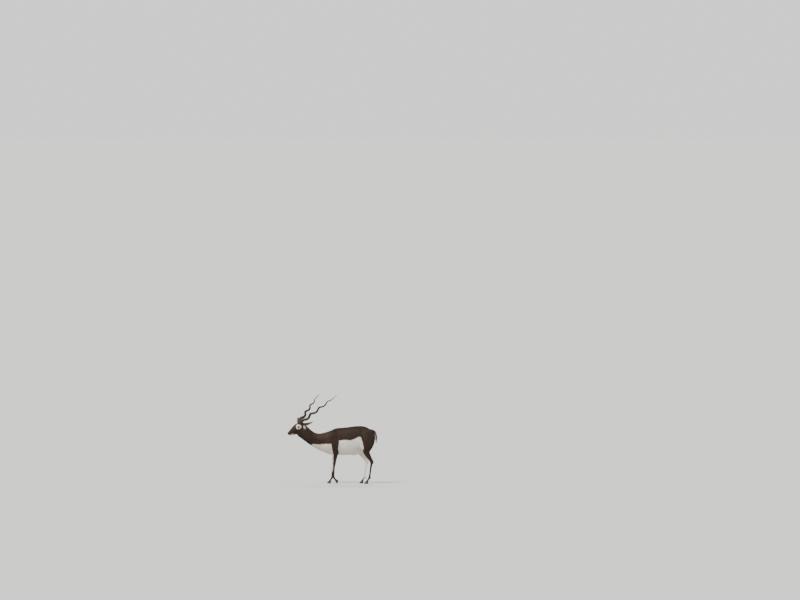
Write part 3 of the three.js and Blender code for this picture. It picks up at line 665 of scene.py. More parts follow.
# Muscles, bones and hollows seen through the coat: two ends in side view, their spread and their rise, mm
RELIEF = [
    ((-30, 745), (-62, 590), 15, 2.8),  # spine of the shoulder blade
    ((62, 740), (66, 590), 20, -2.2),  # hollow behind the shoulder
    ((30, 610), (52, 520), 24, 4.0),  # upper arm
    ((68, 498), (68, 490), 11, 3.0),  # elbow
    ((-92, 548), (-84, 540), 20, 3.0),  # point of the shoulder
    ((-405, 690), (-180, 572), 9, -3.0),  # groove of the neck
    ((-380, 742), (-150, 690), 20, 2.2),  # muscle over the neck
    ((-330, 655), (-150, 610), 22, 2.0),  # and along its side
    ((385, 742), (400, 712), 26, -5.0),  # hollow of the flank
    ((455, 768), (447, 760), 13, 4.2),  # hip bone
    ((408, 690), (412, 560), 13, -3.4),  # line before the thigh
    ((470, 640), (455, 560), 30, 3.0),  # thigh
    ((524, 715), (506, 520), 8, -2.8),  # line behind the thigh
    ((436, 502), (432, 490), 18, 3.2),  # stifle
    ((556, 738), (552, 728), 13, 2.6),  # pin bone
    ((480, 440), (508, 366), 6, -1.8),  # groove of the lower thigh
    ((30, 445), (18, 360), 5, -1.5),  # groove of the forearm
    ((14, 455), (4, 380), 9, 1.5),  # muscle of the forearm
    ((6, 262), (-3, 120), 2.4, -1.1),  # between bone and tendon of the fore cannon
    ((521, 262), (508, 130), 2.6, -1.2),  # and of the hind cannon
    ((540, 400), (536, 330), 4, -1.6),  # before the hock's tendon
    ((5, 300), (5, 286), 7, 1.4),  # knee
    ((528, 312), (528, 294), 8, 1.2),  # hock
]
RIB_SPACING = 31.0
RIB_HEIGHT = 0.34


def near_line(flat, start, end):
    """Distance in side view to a line from start to end, mm, and where along it the nearest point lies."""
    start = np.array(start, dtype=float)
    run = np.array(end, dtype=float) - start
    rel = flat - start
    t = np.clip(rel @ run / (run @ run), 0, 1)
    return np.linalg.norm(rel - t[:, None] * run, axis=1), t


def shape_muscles(p, n):
    # The far legs stand further ahead, so their muscles do too
    flat = p[:, [0, 2]].copy()
    low = smooth(560, 430, p[:, 2])
    shift = np.where(p[:, 0] > 250, HIND_SHIFT["right"], FORE_SHIFT["right"])
    flat[:, 0] -= shift * low * (p[:, 1] > 0)
    move = np.zeros(len(p))
    for start, end, spread, rise in RELIEF:
        far, t = near_line(flat, start, end)
        move += rise * np.exp(-((far / spread) ** 2)) * (0.55 + 0.45 * np.sin(math.pi * t))
    chest = smooth(90, 130, flat[:, 0]) * smooth(345, 300, flat[:, 0])
    chest = chest * smooth(450, 520, p[:, 2]) * smooth(715, 620, p[:, 2])
    ribs = np.cos(2 * math.pi * (flat[:, 0] - 0.22 * (p[:, 2] - 600)) / RIB_SPACING)
    faint = 0.5 + 0.5 * np.sin(flat[:, 0] * 0.051 + p[:, 2] * 0.013)
    move += RIB_HEIGHT * faint * ribs * chest
    side_on = smooth(0.25, 0.7, np.abs(n[:, 1]))
    off_head = 1 - smooth(-140, -105, to_head(p)[:, 0])
    return p + n * (move * side_on * off_head)[:, None]


def fine_face(q, p):
    """True round the eyes and tear glands, along the lips and on the nose."""
    fine = (q[:, 0] > 140) | ((q[:, 0] > 86) & (np.abs(q[:, 2] + 62) < 9))
    for out in (-1, 1):
        for centre, reach in (((4, out * 42, 0), 27), ((34, out * 30, -12), 17)):
            fine |= ((q - np.array(centre)) ** 2).sum(axis=1) < reach ** 2
    return fine


def shape_feet(p, n):
    """Lets the skin end inside the coronets of the hooves."""
    for foot in FEET.values():
        heel = foot_point(foot, 0, 0, coronet_height(0))
        toe = foot_point(foot, HOOF_LENGTH, 0, coronet_height(HOOF_LENGTH))
        down = unit(np.cross(toe - heel, np.array([0.0, 1.0, 0.0])))
        middle, reach, top = (45, 65, 75) if foot["flexed"] else (foot["x"] - 20, 70, 60)
        near = (np.abs(p[:, 1] - foot["y"]) < 34) & (p[:, 2] < top) & (np.abs(p[:, 0] - middle) < reach)
        over = (p - heel) @ down
        swell = 1.6 * smooth(-12, -3, over) * near
        p = p + n * swell[:, None]
        past = near & (over > 4)
        p[past] -= down * (over[past] - 4)[:, None]
    return p


def shape_head(p, n):
    """Lids, tear glands, nostrils and lips."""
    q = to_head(p)
    n = n @ HEAD_AXES.T
    for out in (-1, 1):
        q = shape_lids(q, out)
        q = shape_gland(q, n, out)
        q = shape_nostril(q, n, out)
    return HEAD_PLACE + shape_mouth(q, n) @ HEAD_AXES


def rim_distance(x, y):
    """How far inside the lids' rim a direction lies, mm; x runs to the nose and y up, in degrees."""
    half = np.where(x > 0, LID_FRONT, LID_BACK)
    share = np.clip(np.abs(x) / half, 0, 1)
    upper = LID_UPPER * (1 - share ** 2.3) ** 0.75
    lower = -LID_LOWER * (1 - share ** 2.0) ** 0.8
    inside = np.minimum(upper - y, y - lower)
    beyond = np.maximum(np.abs(x) - half, 0)
    middle = np.where(np.abs(x) < half, inside, -np.hypot(beyond, y))
    return middle * EYE_RADIUS * math.pi / 180


def eye_frame(out):
    """The gaze of one eye, and the ways ahead and up across it."""
    gaze = unit(np.array([0.2, out * 0.96, 0.06]))
    ahead = unit(np.array([1.0, 0.0, -0.12]) - gaze * gaze[0])
    up = np.cross(ahead, gaze) if out < 0 else np.cross(gaze, ahead)
    return gaze, ahead, up


def seen_from_eye(q, out):
    """Distance and direction from one eye, share ahead of it, height in degrees, and the rim distance."""
    d = q - np.array([0.0, out * EYE_ACROSS, 0.0])
    r = np.linalg.norm(d, axis=1)
    direction = d / r[:, None]
    gaze, ahead, up = eye_frame(out)
    z = direction @ gaze
    x = np.degrees(np.arctan2(direction @ ahead, z))
    y = np.degrees(np.arcsin(np.clip(direction @ up, -1, 1)))
    return r, direction, z, y, rim_distance(x, y)


def shape_lids(q, out):
    r, direction, z, y, s = seen_from_eye(q, out)
    near = (r < 44) & (z > -0.1)
    lid = EYE_RADIUS + 2.6 - 0.9 * smooth(-1.5, -5.5, s) + 0.9 * np.exp(-((s + 8) / 2.5) ** 2) * (y > 0)
    target = blend(lid, EYE_RADIUS - 1.6, smooth(-0.1, 0.9, s))
    new_r = np.where(near, blend(r, target, smooth(-13, -5, s)), r)
    new_r = np.where(near & (s < -1.5), np.maximum(new_r, EYE_RADIUS + 1.5), new_r)
    new_r = np.where(near & (s > -1.5), target, new_r)
    return np.array([0.0, out * EYE_ACROSS, 0.0]) + direction * new_r[:, None]


# Both ends of the tear gland in the head's side view, mm
GLAND = ((27, -9), (46, -15))


def shape_gland(q, n, out):
    far, t = near_line(q[:, [0, 2]], *GLAND)
    side = smooth(12, 18, q[:, 1] * out)
    slit = 3.4 * np.exp(-(far / 1.7) ** 2) * np.sin(math.pi * (0.12 + 0.76 * t))
    return q + n * ((1.2 * np.exp(-(far / 7) ** 2) - slit) * side)[:, None]


# The middle of the left nostril, mm along, across and over the head
NOSTRIL = (158.0, 13.5, -42.0)


def nostril_shape(q, out):
    """Below 1 inside the comma of a nostril."""
    rel = q - np.array([NOSTRIL[0], out * NOSTRIL[1], NOSTRIL[2]])
    along = rel @ unit(np.array([0.80, -out * 0.36, -0.48]))
    rise = rel @ unit(np.array([0.50, -out * 0.10, 0.86]))
    return (along / 8.0) ** 2 + ((rise + 0.055 * along ** 2 - 1.2) / 3.0) ** 2, np.linalg.norm(rel, axis=1)


def shape_nostril(q, n, out):
    shape, far = nostril_shape(q, out)
    near = smooth(19, 13, far) * (q[:, 1] * out > 1.5)
    move = -7.5 * np.exp(-shape ** 1.6) + 1.5 * np.exp(-(np.sqrt(shape) - 1.75) ** 2 / 0.2)
    return q + n * (move * near)[:, None]


def above_mouth(q):
    """Height over the line between the lips, mm."""
    u = q[:, 0]
    return q[:, 2] + 63.5 - 0.05 * (u - 133) + 1.3 * np.sin((u - 90) * math.pi / 80) * smooth(88, 96, u)


def shape_mouth(q, n):
    rise = above_mouth(q)
    share = smooth(89, 97, q[:, 0])
    move = -2.3 * np.exp(-(rise / 1.5) ** 2)
    move += 0.9 * np.exp(-((rise - 4.2) / 2.2) ** 2) + 0.7 * np.exp(-((rise + 4.0) / 2.0) ** 2)
    groove = np.exp(-(q[:, 1] / 1.1) ** 2) * smooth(156, 162, q[:, 0]) * (rise > 0)
    move = move * share - 1.2 * groove * smooth(14, 8, np.abs(rise - 9))
    return q + n * move[:, None]


# Markings: 0 on the dark coat and 1 on the white. The edge of chest and belly: x, and its height there, mm
EDGE_ALONG = [-340, -300, -200, -85, -40, 35, 120, 229, 300, 335, 372, 395, 423, 476, 700]
EDGE_HEIGHT = [566, 560, 561, 567, 575, 612, 620, 621, 640, 662, 672, 600, 488, 374, 330]
# The dark band down the foreleg: heights, and x of its edges there, mm
BAND_HEIGHT = [380, 430, 500, 560, 640]
BAND_AHEAD = [-18, -16, -26, -44, -60]
BAND_BEHIND = [70, 64, 60, 60, 70]


def tone_of(p, n, rough=0.0):
    """0 on the dark coat to 1 on the white."""
    x, z = p[:, 0], p[:, 2]
    y = np.abs(p[:, 1])
    outward = n[:, 1] * np.sign(p[:, 1]) + rough * 0.025
    wave = 3 * np.sin(x * 0.043 + 1.3) + 2 * np.sin(x * 0.11 + z * 0.07) + rough
    edge = np.interp(x, EDGE_ALONG, EDGE_HEIGHT) + wave
    white = smooth(5, -5, z - edge) * smooth(-345, -322, x + rough)
    # The dark of the flank runs down the outer side of the foreleg in one band
    fore_x = x - np.where(p[:, 1] > 0, FORE_SHIFT["right"], 0) + rough * 0.6
    ahead = np.interp(z, BAND_HEIGHT, BAND_AHEAD) + 2.5 * np.sin(z * 0.06)
    behind = np.interp(z, BAND_HEIGHT, BAND_BEHIND) + 3 * np.sin(z * 0.045 + 1)
    band = smooth(ahead - 4, ahead + 4, fore_x) * smooth(behind + 4, behind - 4, fore_x)
    band = band * smooth(50, 62, y + rough * 0.5) * smooth(-0.45, 0.0, outward) * smooth(396, 420, z)
    white = white * (1 - band)
    fore = on_leg(p, "front") * smooth(452, 428, z + rough)
    pale = smooth(0.0, -0.35, outward)
    white = blend(white, pale * smooth(140, 200, z), fore)
    hind = on_leg(p, "hind") * smooth(520, 470, z) * smooth(300, 340, x)
    front_line = smooth(0.3, 0.7, -n[:, 0] + rough * 0.02) * smooth(330, 400, z)
    white = blend(white, np.maximum(pale, front_line) * smooth(100, 190, z), hind)
    groin = smooth(52, 40, y) * smooth(300, 330, x) * smooth(560, 500, z) * (1 - hind)
    seat = smooth(1.08, 0.94, np.hypot((y + rough) / 52, (z - 612) / 124))
    seat = seat * smooth(436, 462, x + 0.15 * (z - 600))
    inside = smooth(0.1, -0.3, outward) * smooth(400, 430, x) * smooth(660, 580, z)
    white = np.maximum.reduce([white, groin, seat, inside])
    root = 570 + 0.12 * (740 - z)
    tail = tail_share(p) * smooth(root - 6, root + 4, x)
    white = blend(white, smooth(0.0, -0.45, n[:, 0]), tail)
    # The dark coat is a little browner on the nape, the croup and the fronts of the legs
    nape = smooth(-80, -150, x) * smooth(0.15, 0.75, n[:, 2])
    croup = smooth(380, 470, x) * smooth(0.3, 0.9, n[:, 2]) * smooth(700, 740, z)
    shins = smooth(380, 300, z) * smooth(0.1, 0.7, -n[:, 0])
    brown = 0.055 * nape + 0.035 * croup + 0.05 * shins
    brown = brown * (1 + 0.4 * np.sin(x * 0.031 + z * 0.017) * np.sin(z * 0.043 + y * 0.05))
    return mark_head(np.maximum(white, brown), to_head(p), rough)


# Reach of the white ring round the eye, mm
RING_AHEAD = 37
RING_BEHIND = 40
RING_OVER = 34


def mark_head(white, q, rough):
    """The white ring round the eye, the chin and the pale patch below the ear."""
    u, w, v = q[:, 0], np.abs(q[:, 1]), q[:, 2]
    ring = np.hypot((u + 1) / np.where(u > -1, RING_AHEAD, RING_BEHIND), (v + 2) / RING_OVER)
    ring = ring + 0.05 * np.sin(3 * np.arctan2(v, u) + 0.6) + rough * 0.016
    eye = smooth(1.05, 0.93, ring) * smooth(12, 20, w)
    chin_edge = -66 + 0.05 * (u - 133) + 6 * smooth(96, 112, u) * smooth(160, 142, u)
    chin = smooth(2, -3, v - chin_edge + rough * 0.35) * smooth(70, 98, u + 0.5 * (v + 70) + rough * 0.8)
    chin = chin * (0.55 + 0.45 * smooth(-78, -88, v))
    under = smooth(16, 6, w) * smooth(-84, -92, v) * smooth(50, 90, u)
    patch = smooth(1.25, 0.6, np.hypot((u + 92 + 0.25 * v) / 19, (v + 22) / 42) + rough * 0.05)
    patch = 0.72 * patch * smooth(18, 28, w)
    return blend(white, np.maximum.reduce([eye, chin, under, patch]), smooth(-112, -96, u))


# The way the hair lies
def lie_of(p, n):
    x, z = p[:, 0], p[:, 2]
    flow = np.tile(np.array([1.0, 0.0, -0.22]), (len(p), 1))
    flow[:, 2] -= 0.35 * smooth(0.2, 0.8, np.abs(n[:, 1]))
    neck = smooth(-120, -240, x - 0.3 * (z - 600))
    rump = smooth(430, 540, x) * smooth(420, 560, z)
    legs = leg_share(p, (600, 470), (640, 480))
    for share, way in (
        (neck, [0.85, 0.05, -0.62]),
        (rump, [0.45, 0.0, -0.9]),
        (legs, [0.12, 0.0, -1.0]),
        (tail_share(p), [0.02, 0.0, -1.0]),
    ):
        flow = blend(flow, np.array(way), share[:, None])
    q = to_head(p)
    head = smooth(-120, -70, q[:, 0])[:, None]
    spread = 0.25 * np.sign(q[:, 1]) * smooth(-20, -60, q[:, 2]) * smooth(90, 60, q[:, 0])
    flow = blend(flow, -u_axis + spread[:, None] * w_axis, head)
    flow += np.stack([
        0.05 * np.sin(z * 0.021 + x * 0.013),
        0.06 * np.sin(x * 0.017 + 2.1),
        0.06 * np.sin(x * 0.019 + z * 0.011 + 0.7),
    ], axis=1) * (1 - head)
    return along_skin(flow, n)


def along_skin(flow, n):
    return unit(flow - n * (flow * n).sum(axis=1)[:, None])


def tuft_size(p):
    """Length and width of a tuft, mm, and how many stand on a square mm."""
    head = head_share(p)
    q = to_head(p)
    muzzle = smooth(0, 110, q[:, 0]) * head
    legs = leg_share(p, (520, 380), (520, 380))
    feet = smooth(170, 60, p[:, 2])
    tail = tail_share(p)
    sizes = []
    for k in (0, 1):
        size = BODY_HAIR[k] - HEAD_LESS[k] * head - MUZZLE_LESS[k] * muzzle
        for hair, share in ((LEG_HAIR, legs), (FOOT_HAIR, feet), (TAIL_HAIR, tail)):
            size = blend(size, hair[k], share)
        sizes.append(size)
    length, width = sizes
    lips = head * smooth(80, 92, q[:, 0]) * smooth(9, 3, np.abs(above_mouth(q)))
    length = length - 0.55 * lips * length
    return length, width, HAIR_COVER / (length * width)


def seeds_on(mesh, rng, density_of):
    """Roots spread over the skin: place, normal and place on its unwrap."""
    p = to_part(read_places(mesh))
    normals = read_normals(mesh)
    tri, loops = corner_arrays(mesh)
    a, b, c = p[tri[:, 0]], p[tri[:, 1]], p[tri[:, 2]]
    area = 0.5 * np.linalg.norm(np.cross(b - a, c - a), axis=1)
    wanted = area * density_of((a + b + c) / 3, tri)
    count = np.floor(wanted + rng.random(len(wanted))).astype(int)
    index = np.repeat(np.arange(len(tri)), count)
    r1 = np.sqrt(rng.random(len(index)))
    r2 = rng.random(len(index))
    shares = np.stack([1 - r1, r1 * (1 - r2), r1 * r2], axis=1)
    uv = np.empty(len(mesh.loops) * 2)
    mesh.uv_layers["OFBake"].data.foreach_get("uv", uv)
    place, normal, spot = (
        np.einsum("ij,ijk->ik", shares, corners)
        for corners in (p[tri[index]], normals[tri[index]], uv.reshape(-1, 2)[loops[index]])
    )
    return place, unit(normal), spot


def bare_share(p):
    """1 on the naked skin: nose, rims of the lids, lips and tear glands."""
    q = to_head(p)
    u, w, v = q[:, 0], np.abs(q[:, 1]), q[:, 2]
    shares = [smooth(1.12, 0.92, np.hypot(w / 13.5, (v + 46) / 12.5)) * smooth(156, 160, u)]
    for out in (-1, 1):
        own_side = q[:, 1] * out > 0
        shape, far = nostril_shape(q, out)
        shares.append(smooth(2.4, 1.5, shape) * (far < 16) * own_side)
        r, _, z, _, s = seen_from_eye(q, out)
        shares.append(smooth(-2.6, -1.6, s) * (r < 24) * own_side * (z > 0))
    half = 0.55 + 0.95 * smooth(92, 135, u)
    shares.append(smooth(half + 1.5, half - 0.5, np.abs(above_mouth(q))) * smooth(89, 96, u))
    far, _ = near_line(q[:, [0, 2]], *GLAND)
    shares.append(smooth(2.4, 1.4, far) * smooth(12, 18, w))
    return np.maximum.reduce(shares)


def coat_cover(p):
    """How thickly the hair stands, 0 on the naked skin and under the hooves."""
    return (1 - smooth(0.3, 0.7, bare_share(p))) * smooth(8, 14, p[:, 2])


# Faces of a tuft over its four points, and where these lie on the unwrap, from its root
TUFT_FACES = np.array([[0, 1, 2], [0, 3, 1], [1, 3, 2], [2, 3, 0]])
TUFT_PATCH = np.array([[-0.0015, -0.0015], [0.0015, -0.0015], [0, -0.0008], [0, 0.0015]])


def tufts(roots, flow, length, width, lift, rng):
    """Closed, flat tufts that taper from a three-cornered root to a point, as one array of points."""
    place, normal, _ = roots
    count = len(place)
    turn = rng.normal(0, 0.12, count)
    side = np.cross(normal, flow)
    along = flow * np.cos(turn)[:, None] + side * np.sin(turn)[:, None]
    side = np.cross(normal, along)
    length = length * rng.uniform(0.7, 1.2, count)
    half = side * (0.5 * width * rng.uniform(0.75, 1.2, count))[:, None]
    rise = lift * rng.uniform(0.45, 1.6, count)
    root = place - normal * 0.35
    tip = place + along * length[:, None] + normal * (length * rise)[:, None]
    ridge = root + (tip - root) * 0.2 + normal * (0.3 * width)[:, None]
    return np.stack([root + half, root - half, ridge, tip], axis=1)


def coat_piece(name, roots, flow, sizes, lift, tone, rng, material):
    _, normal, spot = roots
    points = tufts(roots, flow, *sizes, lift, rng)
    count = len(points)
    faces = (np.arange(count) * 4)[:, None, None] + TUFT_FACES
    piece = mesh_piece(name, to_frame(points.reshape(-1, 3)), faces.reshape(-1, 3))
    mesh = piece.data
    give_value(mesh, "tone", np.repeat(tone, 4))
    give_value(mesh, "shade", np.repeat(rng.random(count), 4))
    give_value(mesh, "tip", np.tile(np.array([0, 0, 0.1, 1.0]), count))
    corners = spot[:, None, None, :] + TUFT_PATCH[TUFT_FACES]
    mesh.uv_layers.new(name="OFBake").data.foreach_set("uv", corners.ravel())
    mesh.materials.append(material)
    # Tufts are lit mostly like the skin under them
    own = read_normals(mesh)
    under = np.repeat(normal, 4, axis=0)
    own = np.where(((own * under).sum(axis=1) < 0)[:, None], -own, own)
    mesh.normals_split_custom_set_from_vertices(unit(own * 0.4 + under * 0.8).astype(np.float32))
    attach(piece, "root")


# Materials
def add_node(tree, kind, inputs, **settings):
    """A shader node whose inputs are values or other nodes' outputs."""
    node = tree.nodes.new("ShaderNode" + kind)
    for key, value in settings.items():
        setattr(node, key, value)
    for key, value in inputs.items():
        if isinstance(value, bpy.types.NodeSocket):
            tree.links.new(value, node.inputs[key])
        else:
            node.inputs[key].default_value = value
    return node


def new_material(name, surface):
    """A material whose surface is a function from the node tree to the shader's inputs."""
    material = bpy.data.materials.new(name)
    material.use_nodes = True
    tree = material.node_tree
    tree.nodes.clear()
    shader = add_node(tree, "BsdfPrincipled", surface(tree))
    add_node(tree, "OutputMaterial", {"Surface": shader.outputs["BSDF"]})
    return material


def attribute(tree, name):
    return add_node(tree, "Attribute", {}, attribute_name=name).outputs["Fac"]


def ranged(tree, value, low, high, start=0.0, end=1.0):
    """Low to high where a value runs from start to end."""
    span = {"Value": value, "From Min": start, "From Max": end, "To Min": low, "To Max": high}
    return add_node(tree, "MapRange", span).outputs["Result"]


def mixed(tree, share, a, b):
    return add_node(tree, "Mix", {"Factor": share, 6: a, 7: b}, data_type="RGBA").outputs[2]


def times(tree, a, b):
    return add_node(tree, "Math", {0: a, 1: b}, operation="MULTIPLY").outputs[0]


def noise(tree, scale, detail, place=None, roughness=0.5):
    if place is None:
        place = add_node(tree, "TexCoord", {}).outputs["Object"]
    inputs = {"Vector": place, "Scale": scale, "Detail": detail, "Roughness": roughness}
    return add_node(tree, "TexNoise", inputs).outputs["Fac"]


def bumped(tree, height, strength, distance, **below):
    inputs = {"Height": height, "Strength": strength, "Distance": distance, **below}
    return add_node(tree, "Bump", inputs).outputs["Normal"]


def ramp(tree, value, *stops):
    node = add_node(tree, "ValToRGB", {"Fac": value})
    elements = node.color_ramp.elements
    elements[0].position, elements[0].color = stops[0]
    elements[1].position, elements[1].color = stops[-1]
    for position, colour in stops[1:-1]:
        elements.new(position).color = colour
    return node.outputs["Color"]


COAT_DARK = (0.027, 0.0125, 0.0065, 1)
COAT_BROWN = (0.115, 0.058, 0.030, 1)
COAT_PALE = (0.76, 0.70, 0.61, 1)
BARE_SKIN = (0.012, 0.009, 0.008, 1)
HOOF_DARK = (0.0112, 0.0084, 0.0070, 1)
HOOF_PALE = (0.0208, 0.0156, 0.0130, 1)
HORN_DARK = (0.006, 0.0047, 0.004, 1)
HORN_BROWN = (0.024, 0.016, 0.011, 1)
HORN_WORN = (0.062, 0.044, 0.031, 1)


def coat_colour(tree, tone, shade, tip):
    """Dark, brown or pale hair by tone, made lighter or darker by tuft, by tip and in broad patches."""
    dark = mixed(tree, ranged(tree, tone, 0.0, 1.0, end=0.3), COAT_DARK, COAT_BROWN)
    colour = mixed(tree, ranged(tree, tone, 0.0, 1.0, start=0.3), dark, COAT_PALE)
    gain = times(tree, ranged(tree, shade, 0.72, 1.28), ranged(tree, noise(tree, 9.0, 4.0), 0.75, 1.3))
    gain = times(tree, gain, ranged(tree, tip, 0.85, 1.2))
    return add_node(tree, "VectorMath", {0: colour, "Scale": gain}, operation="SCALE").outputs[0]


def coat_surface(tree, colour, roughness):
    return {
        "Base Color": colour,
        "Roughness": roughness,
        "Specular IOR Level": 0.27,
        "Normal": bumped(tree, noise(tree, 900.0, 2.0), 0.25, 0.0006),
    }


def hair_surface(tree):
    values = (attribute(tree, name) for name in ("tone", "shade", "tip"))
    return coat_surface(tree, coat_colour(tree, *values), 0.56)


def skin_surface(tree):
    bare = attribute(tree, "bare")
    coat = coat_colour(tree, attribute(tree, "tone"), 0.4, 0.2)
    return coat_surface(tree, mixed(tree, bare, coat, BARE_SKIN), ranged(tree, bare, 0.6, 0.36))


def hoof_surface(tree):
    grain = noise(tree, 60.0, 6.0)
    return {
        "Base Color": ramp(tree, grain, (0.3, HOOF_DARK), (0.7, HOOF_PALE)),
        "Roughness": 0.42,
        "Normal": bumped(tree, grain, 0.4, 0.0005),
    }


def horn_surface(tree):
    """Streaks along the horn, and ridges worn paler."""
    axes = {"X": attribute(tree, "turn_x"), "Y": attribute(tree, "turn_y"), "Z": attribute(tree, "along")}
    place = add_node(tree, "CombineXYZ", axes).outputs["Vector"]
    streaks = noise(tree, 9.0, 7.0, place, 0.65)
    grain = noise(tree, 70.0, 7.0)
    base = mixed(tree, streaks, HORN_DARK, HORN_BROWN)
    return {
        "Base Color": mixed(tree, times(tree, attribute(tree, "ridge"), grain), base, HORN_WORN),
        "Roughness": ranged(tree, grain, 0.42, 0.66),
        "Specular IOR Level": 0.2,
        "Normal": bumped(tree, grain, 0.35, 0.0006, Normal=bumped(tree, streaks, 0.8, 0.0009)),
    }


def eye_surface(tree):
    """A black pupil and a brown iris under a wet surface."""
    return {
        "Base Color": ramp(
            tree,
            ranged(tree, attribute(tree, "iris"), 0.0, 1.0, end=16.0),
            (0.0, (0.002, 0.002, 0.002, 1)),
            (0.40, (0.003, 0.002, 0.002, 1)),
            (0.46, (0.035, 0.014, 0.005, 1)),
            (0.70, (0.022, 0.009, 0.004, 1)),
            (0.80, (0.006, 0.004, 0.003, 1)),
            (1.0, (0.02, 0.012, 0.008, 1)),
        ),
        "Roughness": 0.2,
        "Specular IOR Level": 0.1,
        "Coat Weight": 1.0,
        "Coat Roughness": 0.02,
    }


# Horns: a ringed tube on the corkscrew of the part
def horn_route(side):
    """Points along one horn by its share of the length, and its tip."""
    out = -SIGN[side]
    base = from_head(-52, out * 21, 36)
    tip = np.array(HORN_TIPS[side], dtype=float)
    length = np.linalg.norm(tip - base)
    axis = (tip - base) / length
    across = unit(np.cross(np.array([0.0, 1.0, 0.0]), axis))
    over = np.cross(axis, across)

    def route(s):
        swing = HORN_SWING * np.minimum(np.maximum(s, 0) / 0.16, 1)
        swing = swing * (1 - 0.5 * s) * (1 - 0.6 * smooth(0.68, 1, s))
        angle = 0.3 * math.pi + out * 2 * math.pi * HORN_TURNS * s
        steps = ((axis, s * length), (across, swing * np.cos(angle)), (over, swing * np.sin(angle)))
        return base + sum(way * far[..., None] for way, far in steps)

    return route, tip


def build_horn(side, material):
    route, tip = horn_route(side)
    rng = np.random.default_rng(5 if side == "left" else 6)
    steps = 520
    around = 28
    s = np.linspace(-0.012, 0.992, steps)
    ahead = unit(route(s + 0.003) - route(s - 0.003))
    e1 = unit(np.cross(np.array([0.0, 1.0, 0.0]), ahead))
    e2 = np.cross(ahead, e1)
    a = 2 * math.pi * np.arange(around) / around
    # The ridges stand closest at the base, lean and differ in height
    lean = 0.22 * np.cos(a - 0.6) + 0.05 * np.sin(3 * a)
    phase = np.maximum(s / HORN_RINGED, 0)[:, None] ** 0.92 * HORN_RINGS + lean
    number = np.clip(np.floor(phase).astype(int), 0, HORN_RINGS + 2)
    tall = rng.uniform(0.7, 1.2, HORN_RINGS + 3)[number]
    part = phase - np.floor(phase) - 0.5
    crest = np.exp(-((part / 0.15) ** 2)) + 0.35 * np.exp(-((part / 0.34) ** 2))
    fade = (smooth(HORN_RINGED + 0.03, HORN_RINGED - 0.16, s) * smooth(-0.01, 0.01, s))[:, None]
    radius = HORN_BASE_RADIUS - 0.6 + (HORN_END_RADIUS - HORN_BASE_RADIUS) * np.maximum(s, 0) ** 1.45
    height = RING_HEIGHT * (1 - 0.5 * s / HORN_RINGED)[:, None] * fade
    r = radius[:, None] + height * tall * (crest - 0.3) * (1 + 0.3 * np.cos(a - 2.2))
    r *= 1 + 0.010 * np.sin(11 * a) * (1 - 0.6 * fade)
    rings = route(s)[:, None] + e1[:, None] * (r * np.cos(a))[..., None]
    rings += e2[:, None] * (r * np.sin(a))[..., None]
    rings[-1] = rings[-1] * 0.3 + tip * 0.7
    horn = skin_over_rings("horn_" + side + "_ringed", rings)
    # The middles of both ends come last
    for name, values, end in (
        ("ridge", (crest * fade).ravel(), 0.0),
        ("along", np.repeat(s, around), 1.0),
        ("turn_x", np.tile(np.cos(a), steps), 0.0),
        ("turn_y", np.tile(np.sin(a), steps), 0.0),
    ):
        give_value(horn.data, name, np.append(values, [end, end]))
    finish_closed(horn, material)
    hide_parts("horn_" + side)


# Ears: a leaf rolled at its root and opening to a cup
EARS = {
    "left": (from_head(-84, 44, 18), np.array([0.98, -0.14, 0.17]), np.array([0.05, 0.4, -0.9])),
    "right": (from_head(-82, -44, 20), np.array([-0.2, 0.85, 0.52]), np.array([0.35, 0.35, -0.87])),
}


def ear_frame(side):
    root, along, opening = EARS[side]
    length = unit(along)
    across = unit(np.cross(length, opening))
    return root, length, across, np.cross(across, length)


def ear_section(t):
    """Radius and half angle of an ear's roll at a share of its length, and its bow to the opening."""
    half = EAR_HALF_WIDTH * np.sin(math.pi * (0.17 + 0.81 * t ** 0.95)) ** 0.8
    roll = blend(*EAR_ROLL, t ** 0.6)
    return half / roll, roll, 7 * np.sin(math.pi * t) - 8


def build_ear(side, material):
    root, along, across, opening = ear_frame(side)
    points = 45
    rows = 60
    share = np.linspace(-1, 1, points)
    edge = 1 - 0.7 * np.abs(share) ** 6
    down = np.arange(rows + 1) / rows
    rings = []
    for t in down:
        radius, roll, bow = ear_section(t)
        centre = root + along * (t * EAR_LENGTH) + opening * bow
        wall = min(EAR_WALL, radius * 0.5) * (1.5 - 0.9 * t)
        ripple = 0.35 * np.cos(share * 15) * math.sin(math.pi * t) * (1 - share ** 4)
        outer = radius - EAR_HAIR
        inner = outer - wall * edge + ripple
        for r, turn, way in ((outer, share * roll, 1), (inner, share * roll * 0.985, -1)):
            line = centre + across * (r * np.sin(turn))[:, None]
            line += opening * (radius - r * np.cos(turn))[:, None]
            rings.append(line[::way])
    ear = skin_over_rings("ear_" + side + "_shell", np.array(rings).reshape(rows + 1, 2 * points, 3))
    # Values for both walls of each ring, and last for the middles of root and tip
    share = np.append(np.tile(np.concatenate([share, share[::-1]]), rows + 1), [0, 0])
    inside = np.append(np.tile(np.repeat([0, 1], points), rows + 1), [1, 0])
    down = np.append(np.repeat(down, 2 * points), [0, 1])
    far = np.abs(share)
    tone = np.where(inside > 0.5, 0.32 + 0.25 * far ** 3, 0.12 + 0.10 * smooth(0.5, 1.0, far))
    tone = tone * (1 - 0.5 * smooth(0.82, 1.0, down))
    values = {"share": share, "inside": inside, "down": down, "tone": tone, "bare": down * 0}
    for name in values:
        give_value(ear.data, name, values[name])
    finish_closed(ear, material)
    unwrap(ear, 0.01)
    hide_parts("ear_" + side)
    return ear


